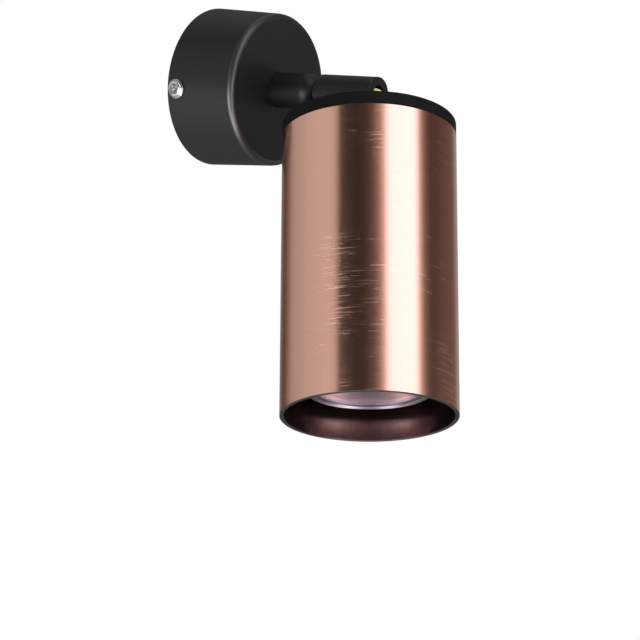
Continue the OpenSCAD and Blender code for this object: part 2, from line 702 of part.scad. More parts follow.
// Earth screw of the head: through the middle of one leg, with the wire under its head
module bracket_earth_screw() {
    thread_out = 1.5;
    color("#c9a553") on_head() translate([leg_x + thread_out, 0, tag_z]) rotate([0, -90, 0])
        cross_screw(holder_screw_d, thread_out + strip_t + wire_d + 0.2, small_head_d, small_head_h);
}

glass_z = lamp_face_z - 0.8;
neck_h = 13;

// Lamp base: the ceramic neck of the lamp, with a waist that the reflector is cemented in
module lamp_base() {
    color("#e4e0d6") on_head() difference() {
        rotate_extrude($fn = fine) polygon([
            [0, -lamp_top_z], [neck_d / 2 - 1.5, -lamp_top_z], [neck_d / 2, -lamp_top_z - 1.5],
            [neck_d / 2, -lamp_top_z - neck_h + 2], [neck_d / 2 - 1, -lamp_top_z - neck_h],
            [0, -lamp_top_z - neck_h]]);
        for (s = [-1, 1]) translate([s * pin_pitch / 2, 0, -lamp_top_z - pin_root_l - 0.2])
            cylinder(h = pin_root_l + 0.2 + cut, r = pin_neck_d / 2 + seat_gap, $fn = small);
    }
}

// Stud pins: a neck in the base and a wider head
module lamp_pins() {
    color("#d0d2d6") on_head() for (s = [-1, 1]) translate([s * pin_pitch / 2, 0, -lamp_top_z]) {
        translate([0, 0, -pin_root_l])
            cylinder(h = pin_root_l + pin_l - pin_head_l / 2, d = pin_neck_d, $fn = small);
        translate([0, 0, pin_l - pin_head_l]) cylinder(h = pin_head_l, d = pin_d, $fn = small);
    }
}

reflector_t = 1.4;
reflector_z = lamp_top_z + neck_h;
reflector_mouth_r = lamp_r - 0.8;
function bowl(t, r0, r1, z0, z1) = [r0 + (r1 - r0) * pow(t, 0.62), -(z0 + (z1 - z0) * t)];

// Lamp reflector: a glass bowl from the neck to the rim
module lamp_reflector() {
    steps = 12;
    top_r = neck_d / 2 - 1;
    rim_z = lamp_face_z - lamp_rim_h;
    color("#5d5a66") on_head() rotate_extrude($fn = fine) polygon(concat(
        [for (i = [0:steps]) bowl(i / steps, top_r, reflector_mouth_r, reflector_z, rim_z)],
        [[reflector_mouth_r, -glass_z + lamp_glass_t],
         [reflector_mouth_r - reflector_t, -glass_z + lamp_glass_t]],
        [for (i = [steps:-1:0]) bowl(i / steps, top_r - reflector_t, reflector_mouth_r - reflector_t,
            reflector_z, rim_z)]));
}

// Lamp ring: the rim that holds the glass, with a lip over its edge
module lamp_ring() {
    lip_r = lamp_r - lamp_ring_w;
    color("#8f8c96") on_head() rotate_extrude($fn = fine) polygon([
        [reflector_mouth_r + seat_gap, -lamp_face_z + lamp_rim_h], [lamp_r, -lamp_face_z + lamp_rim_h],
        [lamp_r, -lamp_face_z + 0.6], [lamp_r - 0.6, -lamp_face_z], [lip_r + 0.4, -lamp_face_z],
        [lip_r, -lamp_face_z + 0.4], [lip_r, -glass_z - seat_gap],
        [reflector_mouth_r + seat_gap, -glass_z - seat_gap]]);
}

module lamp_glass() {
    color("#c9c6d4") on_head() translate([0, 0, -glass_z]) cylinder(h = lamp_glass_t - seat_gap,
        r = reflector_mouth_r - 0.2, $fn = fine);
}

// Lamp capsule: the small burner in the middle of the bowl
module lamp_capsule() {
    capsule_r = 4.6;
    capsule_l = 20;
    color("#dfe3ea") on_head() translate([0, 0, -reflector_z - capsule_l]) {
        translate([0, 0, capsule_r]) cylinder(h = capsule_l - capsule_r, r = capsule_r, $fn = small);
        translate([0, 0, capsule_r]) sphere(capsule_r, $fn = small);
    }
}

// Places of the wires in a bundle round the axis: earth up left, live up right, neutral below
bundle_r = wire_r * 1.25;
function bundle(k) = bundle_r * [cos(150 - 120 * k), sin(150 - 120 * k)];

// The base's wires: from the terminals and the earth screw, then through nipple and bolt
block_side = block_y - block_w / 2;
module base_wire(k, start) {
    b = bundle(k);
    on_wall() sweep(concat(
        smooth(concat(start, [[b[0] * 1.6, b[1] * 2, nipple_start_y - 2.5],
            [b[0], b[1], nipple_start_y + 1]]), 4),
        [[b[0], b[1], bolt_end_y - 0.2]]), wire_d);
}
module base_earth_wire() {
    x = earth_x - side_screw_d / 2 - wire_r - 0.2;
    z = bracket_t + earth_washer_t + wire_r + 0.1;
    color("#a5b52c") base_wire(0, [[x, upper_row_y - 2.5, z], [x, upper_row_y + 3.5, z],
        [x + 0.3, upper_row_y + 6, z + 1.2], [x + 3, upper_row_y + 7, z + 8],
        [x + 8, upper_row_y + 1, z + 15.2]]);
}
module base_live_wire() {
    color("#7a4526") base_wire(1, [[pole_pitch, block_side + 5, tube_row_z],
        [pole_pitch, block_side - 1, tube_row_z], [pole_pitch + 1, block_side - 6, tube_row_z + 3.5],
        [pole_pitch + 2.5, block_side - 2, tube_row_z + 10],
        [pole_pitch - 1, block_side + 8, tube_row_z + 13.7]]);
}
module base_neutral_wire() {
    color("#d8c79a") base_wire(2, [[0, block_side + 5, tube_row_z],
        [0, block_side - 1, tube_row_z], [0, block_side - 6, tube_row_z + 4],
        [0, block_side - 3, tube_row_z + 10], [0, block_side + 5.5, tube_row_z + 13.2]]);
}

// The arm's wires: from the bolt to a row over the tongue and out of the open end
row_y = tongue_r - pivot_drop + wire_r + 0.25;
row_x = -sqrt(pow(bore_r - wire_r - 0.06, 2) - row_y * row_y);
row_pitch = wire_d + 0.07;
wire_join_y = bolt_end_y + 0.4;
module arm_wire(k, place, tail) {
    b = bundle(k);
    x = row_x + place * row_pitch;
    rise = place == 1 ? 0.3 : 0.6;
    lead_y = wire_join_y + 0.8;
    row_start_y = pivot_y - tongue_r - clear_gap;
    on_arm() sweep(smooth([[b[0], b[1], wire_join_y], [b[0], b[1], lead_y],
        [b[0] + 0.85 * (x - b[0]), b[1] + rise * (row_y - b[1]), (lead_y + row_start_y) / 2],
        [x, row_y, row_start_y], [x, row_y, arm_end_y - 0.6],
        [x + tail, row_y - 0.1, arm_end_y + 0.4]], 3), wire_d);
}
module arm_earth_wire() {
    color("#a5b52c") arm_wire(0, 0, -0.15);
}
module arm_live_wire() {
    color("#7a4526") arm_wire(1, 2, 0.2);
}
module arm_neutral_wire() {
    color("#d8c79a") arm_wire(2, 1, 0);
}

// The head's wires: down through the lug's slanted ways and its stub, to the holder
way_dir = [sin(wire_way_lean), 0, cos(wire_way_lean)];
tail_mid_z = -(stub_end_z + holder_back_z) / 2;
module head_wire(s, k, tail) {
    top = [s * wire_way_x, k * wire_way_y, -shoulder_z];
    dir = [s * way_dir[0], 0, way_dir[2]];
    inner = [s * 1.25, k * 1.1];
    on_head() sweep(concat([top + 0.2 * dir, top - 6 * dir],
        smooth(concat([[inner[0], inner[1], -lug_h - 3.6], [inner[0], inner[1], -stub_end_z]], tail), 5)),
        wire_d);
}
module head_earth_wire() {
    x = leg_x - strip_t - wire_r - 0.15;
    y = holder_screw_d / 2 + wire_r + 0.15;
    color("#a5b52c") head_wire(-1, 1, [[-0.6, 4, -stub_end_z - 4], [x - 8, y + 4.5, tag_z + 7],
        [x - 2, y + 1.5, tag_z + 5], [x, y, tag_z + 1.5], [x, y, tag_z - 2.5]]);
}
module head_live_wire() {
    color("#7a4526") head_wire(1, 1, [[2.4, 3, tail_mid_z + 4], [3.4, 2.4, tail_mid_z - 6],
        [pin_pitch / 2, 0, -holder_back_z + 3], [pin_pitch / 2, 0, -holder_back_z - 4]]);
}
module head_neutral_wire() {
    color("#d8c79a") head_wire(1, -1, [[-3, -2, tail_mid_z + 4], [-5, -2.4, tail_mid_z - 6],
        [-pin_pitch / 2, 0, -holder_back_z + 3], [-pin_pitch / 2, 0, -holder_back_z - 4]]);
}

canopy();
mounting_bracket();
canopy_screws();
terminal_block();
terminal_tubes();
terminal_screws();
block_screw();
earth_screw();
earth_washer();
hub_collar();
hollow_nipple();
nipple_nut();
nipple_washer();
retaining_bolt();
friction_washer();
wave_washer();
stop_pin();
base_live_wire();
base_neutral_wire();
base_earth_wire();
arm_tube();
pivot_screw();
tilt_washers();
arm_live_wire();
arm_neutral_wire();
arm_earth_wire();
tilt_lug();
lug_washer();
lug_nut();
top_cap();
head_tube();
holder_bracket();
lamp_holder();
holder_screws();
holder_contacts();
bracket_earth_screw();
lamp_base();
lamp_pins();
lamp_reflector();
lamp_ring();
lamp_glass();
lamp_capsule();
head_live_wire();
head_neutral_wire();
head_earth_wire();
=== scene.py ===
import json
import math

import bmesh
import bpy
from mathutils import Matrix, Vector


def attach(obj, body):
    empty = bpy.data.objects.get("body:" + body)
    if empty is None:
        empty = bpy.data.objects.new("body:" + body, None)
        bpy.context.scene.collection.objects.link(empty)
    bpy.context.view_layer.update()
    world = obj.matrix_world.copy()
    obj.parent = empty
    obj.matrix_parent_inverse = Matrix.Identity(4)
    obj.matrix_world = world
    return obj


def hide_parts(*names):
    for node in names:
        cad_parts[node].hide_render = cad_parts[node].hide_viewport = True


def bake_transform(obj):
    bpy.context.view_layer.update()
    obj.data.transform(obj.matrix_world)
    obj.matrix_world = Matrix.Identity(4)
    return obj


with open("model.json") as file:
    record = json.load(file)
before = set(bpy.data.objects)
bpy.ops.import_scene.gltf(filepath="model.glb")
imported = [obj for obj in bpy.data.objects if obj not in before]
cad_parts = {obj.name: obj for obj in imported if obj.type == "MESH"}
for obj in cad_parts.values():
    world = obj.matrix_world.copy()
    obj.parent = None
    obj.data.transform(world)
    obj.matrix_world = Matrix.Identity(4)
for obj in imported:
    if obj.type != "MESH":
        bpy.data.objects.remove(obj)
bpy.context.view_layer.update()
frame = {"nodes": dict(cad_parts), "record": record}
print("frame loaded:", len(frame["nodes"]), "nodes")

mm = 0.001

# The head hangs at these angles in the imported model; lengths are in millimetres
headHang = {"swivel": 20.8, "tilt": 15.8, "pivotOut": 79.4, "pivotDrop": 2.6}

wallFrame = Matrix.Rotation(math.radians(90), 4, "X")  # x across, y up, z out from the wall
armFrame = Matrix.Rotation(math.radians(headHang["swivel"]), 4, "Y") @ wallFrame
headFrame = (
    Matrix.Rotation(math.radians(headHang["swivel"]), 4, "Y")
    @ Matrix.Translation((0, -headHang["pivotOut"] * mm, -headHang["pivotDrop"] * mm))
    @ Matrix.Rotation(math.radians(-headHang["tilt"]), 4, "X")
)


# Camera
cameraSetup = {
    "place": (-865.68, -695.9, 42.46),
    "aim": (-27.78, -77.02, -89.5),
    "roll": 1.28,
    "lens": 147.56,
    "sensor": 36.0,
}


def makeCamera():
    data = bpy.data.cameras.new("photoCamera")
    data.lens = cameraSetup["lens"]
    data.sensor_width = cameraSetup["sensor"]
    data.clip_start = 0.01
    data.clip_end = 50
    camera = bpy.data.objects.new("photoCamera", data)
    bpy.context.scene.collection.objects.link(camera)
    place = Vector(cameraSetup["place"]) * mm
    aim = Vector(cameraSetup["aim"]) * mm
    turn = (aim - place).to_track_quat("-Z", "Y").to_matrix().to_4x4()
    roll = Matrix.Rotation(math.radians(cameraSetup["roll"]), 4, "Z")
    camera.matrix_world = Matrix.Translation(place) @ turn @ roll
    bpy.context.scene.camera = camera


makeCamera()
print("camera set")


# Node helpers
def link(tree, source, target):
    tree.links.new(source, target)


def mathNode(tree, operation, first, second=None, clamp=False):
    node = tree.nodes.new("ShaderNodeMath")
    node.operation = operation
    node.use_clamp = clamp
    for index, value in enumerate((first, second)):
        if value is None:
            continue
        if isinstance(value, (int, float)):
            node.inputs[index].default_value = value
        else:
            link(tree, value, node.inputs[index])
    return node.outputs[0]


# A base with a share of a value on top
def plusShare(tree, base, value, share):
    return mathNode(tree, "ADD", mathNode(tree, "MULTIPLY", value, share), base)


def noiseNode(tree, vector, scale, detail=2.0, roughness=0.5):
    node = tree.nodes.new("ShaderNodeTexNoise")
    node.inputs["Scale"].default_value = scale
    node.inputs["Detail"].default_value = detail
    node.inputs["Roughness"].default_value = roughness
    link(tree, vector, node.inputs["Vector"])
    return node.outputs["Fac"]


def stretchNode(tree, vector, factors):
    node = tree.nodes.new("ShaderNodeVectorMath")
    node.operation = "MULTIPLY"
    link(tree, vector, node.inputs[0])
    node.inputs[1].default_value = factors
    return node.outputs[0]


def rangeNode(tree, value, low, high, toLow=0.0, toHigh=1.0):
    node = tree.nodes.new("ShaderNodeMapRange")
    link(tree, value, node.inputs["Value"])
    node.inputs["From Min"].default_value = low
    node.inputs["From Max"].default_value = high
    node.inputs["To Min"].default_value = toLow
    node.inputs["To Max"].default_value = toHigh
    return node.outputs["Result"]


def mixColour(tree, factor, first, second):
    node = tree.nodes.new("ShaderNodeMix")
    node.data_type = "RGBA"
    link(tree, factor, node.inputs[0])
    for socket, value in ((node.inputs[6], first), (node.inputs[7], second)):
        if isinstance(value, tuple):
            socket.default_value = (*value, 1.0)
        else:
            link(tree, value, socket)
    return node.outputs[2]


def newGroup(name, inputs, outputs):
    group = bpy.data.node_groups.new(name, "ShaderNodeTree")
    for socketName, kind, value in inputs:
        socket = group.interface.new_socket(socketName, in_out="INPUT", socket_type=kind)
        if value is not None:
            socket.default_value = value
    for socketName, kind in outputs:
        group.interface.new_socket(socketName, in_out="OUTPUT", socket_type=kind)
    start = group.nodes.new("NodeGroupInput")
    end = group.nodes.new("NodeGroupOutput")
    return group, start, end


vectorSocket = "NodeSocketVector"
floatSocket = "NodeSocketFloat"


# Marks of a lathe or brush: thin lines across the Z axis of the vector, broken into dashes
def makeBrushGroup():
    group, start, end = newGroup(
        "brushMarks",
        [("Vector", vectorSocket, None), ("Line", floatSocket, 2600.0), ("Dash", floatSocket, 70.0)],
        [("Mask", floatSocket), ("Fine", floatSocket)],
    )
    combine = group.nodes.new("ShaderNodeCombineXYZ")
    link(group, start.outputs["Dash"], combine.inputs[0])
    link(group, start.outputs["Dash"], combine.inputs[1])
    link(group, start.outputs["Line"], combine.inputs[2])
    scaled = group.nodes.new("ShaderNodeVectorMath")
    scaled.operation = "MULTIPLY"
    link(group, start.outputs["Vector"], scaled.inputs[0])
    link(group, combine.outputs[0], scaled.inputs[1])
    coarse = noiseNode(group, scaled.outputs[0], 1.0, 1.0, 0.5)
    fine = noiseNode(group, stretchNode(group, scaled.outputs[0], (2.3, 2.3, 3.1)), 1.0, 2.0, 0.6)
    patch = noiseNode(group, start.outputs["Vector"], 38.0, 2.0, 0.5)
    dashes = rangeNode(group, coarse, 0.56, 0.74)
    mask = mathNode(group, "MULTIPLY", dashes, rangeNode(group, patch, 0.42, 0.62), clamp=True)
    link(group, mask, end.inputs["Mask"])
    link(group, fine, end.inputs["Fine"])
    return group


# Skin of powder coat, moulded plastic or glaze: a low swell and a fine grain
def makeSkinGroup():
    group, start, end = newGroup(
        "coatSkin",
        [("Vector", vectorSocket, None), ("Grain", floatSocket, 2600.0), ("Swell", floatSocket, 420.0)],
        [("Height", floatSocket), ("Mottle", floatSocket)],
    )

    def noiseBy(socket, detail, roughness):
        node = group.nodes.new("ShaderNodeTexNoise")
        node.inputs["Detail"].default_value = detail
        node.inputs["Roughness"].default_value = roughness
        link(group, start.outputs["Vector"], node.inputs["Vector"])
        link(group, start.outputs[socket], node.inputs["Scale"])
        return node.outputs["Fac"]

    grain = noiseBy("Grain", 2.0, 0.55)
    swell = noiseBy("Swell", 2.0, 0.5)
    height = plusShare(group, mathNode(group, "MULTIPLY", swell, 0.65), grain, 0.35)
    link(group, height, end.inputs["Height"])
    link(group, noiseNode(group, start.outputs["Vector"], 95.0, 3.0, 0.6), end.inputs["Mottle"])
    return group


# Light handling wear: thin stray scratches and soft smudges
def makeHandlingGroup():
    group, start, end = newGroup(
        "handling",
        [("Vector", vectorSocket, None), ("Scale", floatSocket, 300.0)],
        [("Scratch", floatSocket), ("Smudge", floatSocket)],
    )
    warped = group.nodes.new("ShaderNodeTexWave")
    warped.wave_type = "BANDS"
    warped.bands_direction = "DIAGONAL"
    warped.inputs["Distortion"].default_value = 9.0
    warped.inputs["Detail"].default_value = 2.0
    link(group, start.outputs["Vector"], warped.inputs["Vector"])
    link(group, start.outputs["Scale"], warped.inputs["Scale"])
    thin = rangeNode(group, warped.outputs["Fac"], 0.985, 1.0)
    broken = rangeNode(group, noiseNode(group, start.outputs["Vector"], 260.0, 2.0), 0.55, 0.7)
    link(group, mathNode(group, "MULTIPLY", thin, broken, clamp=True), end.inputs["Scratch"])
    cloud = noiseNode(group, start.outputs["Vector"], 55.0, 3.0, 0.6)
    link(group, rangeNode(group, cloud, 0.35, 0.7), end.inputs["Smudge"])
    return group


brushGroup = makeBrushGroup()
skinGroup = makeSkinGroup()
handlingGroup = makeHandlingGroup()


def newMaterial(name):
    material = bpy.data.materials.new(name)
    material.use_nodes = True
    tree = material.node_tree
    shader = tree.nodes["Principled BSDF"]
    return material, tree, shader


# Object coordinates, or the same seen from a piece's own frame
def localVector(tree, matrix=None):
    coordinates = tree.nodes.new("ShaderNodeTexCoord")
    if matrix is None:
        return coordinates.outputs["Object"]
    mapping = tree.nodes.new("ShaderNodeMapping")
    mapping.vector_type = "TEXTURE"
    mapping.inputs["Location"].default_value = matrix.to_translation()
    mapping.inputs["Rotation"].default_value = matrix.to_euler("XYZ")
    link(tree, coordinates.outputs["Object"], mapping.inputs["Vector"])
    return mapping.outputs["Vector"]


def useGroup(tree, group, vector, **values):
    node = tree.nodes.new("ShaderNodeGroup")
    node.node_tree = group
    link(tree, vector, node.inputs["Vector"])
    for name, value in values.items():
        node.inputs[name].default_value = value
    return node.outputs


def bumpInto(tree, shader, height, strength, distance):
    bump = tree.nodes.new("ShaderNodeBump")
    bump.inputs["Strength"].default_value = strength
    bump.inputs["Distance"].default_value = distance
    link(tree, height, bump.inputs["Height"])
    link(tree, bump.outputs["Normal"], shader.inputs["Normal"])


# A fixed direction in the piece's own space, used as the tangent of brushed metal
def tangentAlong(tree, shader, direction):
    combine = tree.nodes.new("ShaderNodeCombineXYZ")
    for index in range(3):
        combine.inputs[index].default_value = direction[index]
    turn = tree.nodes.new("ShaderNodeVectorTransform")
    turn.vector_type = "VECTOR"
    turn.convert_from = "OBJECT"
    turn.convert_to = "WORLD"
    link(tree, combine.outputs[0], turn.inputs["Vector"])
    link(tree, turn.outputs["Vector"], shader.inputs["Tangent"])


headAxis = headFrame.to_3x3() @ Vector((0, 0, 1))


# Brushed copper finish of the head tube
copperLook = {
    "colour": (0.96, 0.552, 0.424),
    "dark": (0.86, 0.47, 0.35),
    "mark": (0.99, 0.66, 0.53),
    "line": 2200.0,
    "dash": 70.0,
    "markShare": 0.35,
    "roughness": 0.14,
    "grain": 0.10,
    "scored": 0.14,
    "anisotropy": 0.85,
    "bump": 0.10,
}


def makeCopper():
    look = copperLook
    material, tree, shader = newMaterial("copperFinish")
    vector = localVector(tree, headFrame)
    marks = useGroup(tree, brushGroup, vector, Line=look["line"], Dash=look["dash"])
    shade = rangeNode(tree, marks["Fine"], 0.3, 0.7, 0.0, 0.22)
    soft = mixColour(tree, shade, look["colour"], look["dark"])
    marked = mixColour(tree, mathNode(tree, "MULTIPLY", marks["Mask"], look["markShare"]), soft, look["mark"])
    link(tree, marked, shader.inputs["Base Color"])
    rough = plusShare(tree, look["roughness"], marks["Fine"], look["grain"])
    link(tree, plusShare(tree, rough, marks["Mask"], look["scored"]), shader.inputs["Roughness"])
    shader.inputs["Metallic"].default_value = 1.0
    shader.inputs["Anisotropic"].default_value = look["anisotropy"]
    tangentAlong(tree, shader, headAxis)
    bumpInto(tree, shader, marks["Fine"], look["bump"], 0.00005)
    return material


# Inside of the tube: dark and half polished, with the drawn lines of the extrusion
insideLook = {
    "low": (0.17, 0.098, 0.092), "high": (0.27, 0.155, 0.145), "roughness": 0.13, "lines": (1500, 1500, 12),
    "bump": 0.20,
}


def makeTubeInside():
    look = insideLook
    material, tree, shader = newMaterial("tubeInside")
    vector = localVector(tree, headFrame)
    lines = noiseNode(tree, stretchNode(tree, vector, look["lines"]), 1.0, 2.0, 0.6)
    skin = useGroup(tree, skinGroup, vector, Grain=1800.0, Swell=300.0)
    link(tree, mixColour(tree, lines, look["low"], look["high"]), shader.inputs["Base Color"])
    link(tree, plusShare(tree, look["roughness"], lines, 0.10), shader.inputs["Roughness"])
    link(tree, rangeNode(tree, skin["Mottle"], 0.3, 0.7, 0.92, 1.0), shader.inputs["Metallic"])
    bumpInto(tree, shader, lines, look["bump"], 0.0001)
    return material


# Cut end of the tube, under a thin black coat
def makeCutEdge(name, low, high, metallic, roughness):
    material, tree, shader = newMaterial(name)
    vector = localVector(tree, headFrame)
    rings = noiseNode(tree, stretchNode(tree, vector, (90, 90, 3000)), 1.0, 2.0, 0.6)
    skin = useGroup(tree, skinGroup, vector, Grain=2600.0, Swell=500.0)
    link(tree, mixColour(tree, rings, low, high), shader.inputs["Base Color"])
    link(tree, plusShare(tree, roughness, skin["Mottle"], 0.15), shader.inputs["Roughness"])
    shader.inputs["Metallic"].default_value = metallic
    bumpInto(tree, shader, skin["Height"], 0.15, 0.0001)
    return material


# Matte black powder coat
coatLook = {
    "low": (0.0042, 0.0042, 0.0045), "high": (0.0064, 0.0064, 0.0067), "grain": 3200.0, "swell": 900.0,
    "smudge": 0.05, "scratch": -0.08, "bump": 0.22,
}


def makeBlackCoat(name, roughness, gloss):
    look = coatLook
    material, tree, shader = newMaterial(name)
    vector = localVector(tree)
    skin = useGroup(tree, skinGroup, vector, Grain=look["grain"], Swell=look["swell"])
    wear = useGroup(tree, handlingGroup, vector, Scale=260.0)
    link(tree, mixColour(tree, skin["Mottle"], look["low"], look["high"]), shader.inputs["Base Color"])
    rough = plusShare(tree, roughness, wear["Smudge"], look["smudge"])
    link(tree, plusShare(tree, rough, wear["Scratch"], look["scratch"]), shader.inputs["Roughness"])
    shader.inputs["Specular IOR Level"].default_value = gloss
    bumpInto(tree, shader, skin["Height"], look["bump"], 0.00012)
    return material


# Plain metals of the hardware
def makeMetal(name, low, high, roughness, grain=0.12, bump=0.15):
    material, tree, shader = newMaterial(name)
    vector = localVector(tree)
    marks = useGroup(tree, brushGroup, vector, Line=1800.0, Dash=260.0)
    wear = useGroup(tree, handlingGroup, vector, Scale=420.0)
    tone = plusShare(tree, mathNode(tree, "MULTIPLY", wear["Smudge"], 0.4), marks["Fine"], 0.6)
    link(tree, mixColour(tree, tone, low, high), shader.inputs["Base Color"])
    rough = plusShare(tree, roughness, marks["Fine"], grain)
    link(tree, plusShare(tree, rough, wear["Smudge"], 0.06), shader.inputs["Roughness"])
    shader.inputs["Metallic"].default_value = 1.0
    bumpInto(tree, shader, marks["Fine"], bump, 0.00006)
    return material


# Plastics and ceramics
def makeMoulded(name, low, high, roughness, grain, swell, bump, coat=0.0, scatter=0.0):
    material, tree, shader = newMaterial(name)
    vector = localVector(tree)
    skin = useGroup(tree, skinGroup, vector, Grain=grain, Swell=swell)
    link(tree, mixColour(tree, skin["Mottle"], low, high), shader.inputs["Base Color"])
    link(tree, plusShare(tree, roughness, skin["Mottle"], 0.12), shader.inputs["Roughness"])
    shader.inputs["Coat Weight"].default_value = coat
    shader.inputs["Coat Roughness"].default_value = 0.12
    if scatter:
        shader.inputs["Subsurface Weight"].default_value = scatter
        shader.inputs["Subsurface Radius"].default_value = (0.002, 0.002, 0.0018)
    bumpInto(tree, shader, skin["Height"], bump, 0.0002)
    return material


def makeGlass(name, colour, roughness, tint):
    material, tree, shader = newMaterial(name)
    vector = localVector(tree)
    wear = useGroup(tree, handlingGroup, vector, Scale=180.0)
    link(tree, mixColour(tree, wear["Smudge"], colour, tint), shader.inputs["Base Color"])
    link(tree, plusShare(tree, roughness, wear["Smudge"], 0.03), shader.inputs["Roughness"])
    shader.inputs["Transmission Weight"].default_value = 1.0
    shader.inputs["IOR"].default_value = 1.45
    return material


# Wire insulation; the earth wire has two green stripes along it, from the tube's own UV map
def makeInsulation(name, base, shade, stripe=None):
    material, tree, shader = newMaterial(name)
    vector = localVector(tree)
    skin = useGroup(tree, skinGroup, vector, Grain=4200.0, Swell=700.0)
    colour = mixColour(tree, skin["Mottle"], base, shade)
    if stripe is not None:
        uv = tree.nodes.new("ShaderNodeTexCoord")
        parts = tree.nodes.new("ShaderNodeSeparateXYZ")
        link(tree, uv.outputs["UV"], parts.inputs[0])
        swing = mathNode(tree, "MULTIPLY", parts.outputs[1], 4 * math.pi)
        band = mathNode(tree, "SINE", swing)
        colour = mixColour(tree, rangeNode(tree, band, 0.30, 0.42), colour, stripe)
    link(tree, colour, shader.inputs["Base Color"])
    link(tree, plusShare(tree, 0.32, skin["Mottle"], 0.1), shader.inputs["Roughness"])
    bumpInto(tree, shader, skin["Height"], 0.12, 0.0001)
    return material


# Each metal has a name, two tones, its roughness, and where needed its grain and bump
metalLooks = {
    "zinc_steel": ("zincSteel", (0.62, 0.64, 0.66), (0.78, 0.80, 0.82), 0.26),
    "screw_chrome": ("screwChrome", (0.86, 0.87, 0.88), (0.96, 0.96, 0.97), 0.05, 0.04, 0.05),
    "black_steel": ("blackSteel", (0.030, 0.030, 0.032), (0.055, 0.055, 0.058), 0.36),
    "brass": ("brass", (0.72, 0.50, 0.20), (0.86, 0.64, 0.30), 0.24),
    "reflector": ("reflectorMirror", (0.82, 0.74, 0.79), (0.94, 0.87, 0.91), 0.10, 0.05, 0.02),
    "lamp_rim": ("lampRim", (0.22, 0.20, 0.23), (0.34, 0.31, 0.35), 0.22),
}
# Each moulding has a name, two tones, roughness, grain, swell, bump, coat and scatter
mouldedLooks = {
    "block_plastic": (
        "blockPlastic", (0.72, 0.72, 0.68), (0.82, 0.82, 0.78), 0.38, 1900.0, 320.0, 0.14, 0.0, 0.2,
    ),
    "nylon": ("nylon", (0.74, 0.72, 0.63), (0.82, 0.80, 0.72), 0.42, 1500.0, 260.0, 0.10, 0.0, 0.3),
    "holder_ceramic": (
        "holderCeramic", (0.78, 0.75, 0.67), (0.88, 0.86, 0.80), 0.30, 2400.0, 240.0, 0.20, 0.25,
    ),
    "lamp_ceramic": ("lampCeramic", (0.70, 0.67, 0.60), (0.82, 0.79, 0.73), 0.50, 2600.0, 300.0, 0.25),
}
materials = {
    "black_coat": makeBlackCoat("blackCoat", 0.42, 0.42),
    "armCoat": makeBlackCoat("armCoat", 0.42, 0.36),
    "capCoat": makeBlackCoat("capCoat", 0.58, 0.08),
    "edgeCoat": makeBlackCoat("edgeCoat", 0.37, 0.95),
    "copper_finish": makeCopper(),
    "tubeInside": makeTubeInside(),
    "tubeEnd": makeCutEdge("tubeEnd", (0.012, 0.015, 0.015), (0.020, 0.024, 0.024), 0.0, 0.42),
    "bareEdge": makeCutEdge("bareEdge", (0.05, 0.048, 0.047), (0.09, 0.086, 0.083), 0.5, 0.34),
    "lamp_glass": makeGlass("lampGlass", (0.94, 0.92, 0.96), 0.02, (0.88, 0.85, 0.92)),
    "capsule_glass": makeGlass("capsuleGlass", (0.96, 0.97, 0.99), 0.03, (0.90, 0.92, 0.95)),
    "wire_brown": makeInsulation("wireBrown", (0.42, 0.17, 0.05), (0.50, 0.22, 0.07)),
    "wire_cream": makeInsulation("wireCream", (0.66, 0.55, 0.30), (0.74, 0.63, 0.38)),
    "wire_green_yellow": makeInsulation(
        "wireGreenYellow", (0.72, 0.66, 0.10), (0.80, 0.74, 0.16), (0.10, 0.34, 0.06),
    ),
    **{slot: makeMetal(*look) for slot, look in metalLooks.items()},
    **{slot: makeMoulded(*look) for slot, look in mouldedLooks.items()},
}
slotOf = {entry["node"]: entry["material_slot"] for entry in frame["record"]["subparts"]}
for name, node in frame["nodes"].items():
    for index in range(len(node.data.materials)):
        node.data.materials[index] = materials[slotOf[name]]
print("materials made:", len(materials))


# Shape helpers. Outlines are (radius, height) points in millimetres
def arcPoints(centre, radius, start, end, steps):
    angles = [math.radians(start + (end - start) * step / steps) for step in range(steps + 1)]
    return [(centre[0] + radius * math.cos(angle), centre[1] + radius * math.sin(angle)) for angle in angles]


def spinOutline(points, steps=96):
    bm = bmesh.new()
    verts = [bm.verts.new((radius * mm, 0, height * mm)) for radius, height in points]
    ends = [(verts[index - 1], vert) for index, vert in enumerate(verts)]
    edges = [bm.edges.new(pair) for pair in ends if pair[0].co.x > 0 or pair[1].co.x > 0]
    bmesh.ops.spin(
        bm, geom=verts + edges, cent=(0, 0, 0), axis=(0, 0, 1), dvec=(0, 0, 0), angle=2 * math.pi,
        steps=steps, use_merge=True, use_normal_flip=False, use_duplicate=False,
    )
    bmesh.ops.remove_doubles(bm, verts=bm.verts, dist=0.001 * mm)
    bmesh.ops.recalc_face_normals(bm, faces=bm.faces)
    return bm


# Rounds the edges that turn more sharply than an angle
def roundEdges(bm, width, angle=30, segments=3):
    sharp = [edge for edge in bm.edges if edge.calc_face_angle(0) > math.radians(angle)]
    bmesh.ops.bevel(
        bm, geom=sharp, offset=width * mm, offset_type="OFFSET", affect="EDGES", segments=segments,
        profile=0.5, material=-1, clamp_overlap=True,
    )


def looseObject(name, bm):
    mesh = bpy.data.meshes.new(name)
    bm.to_mesh(mesh)
    bm.free()
    piece = bpy.data.objects.new(name, mesh)
    bpy.context.scene.collection.objects.link(piece)
    return piece


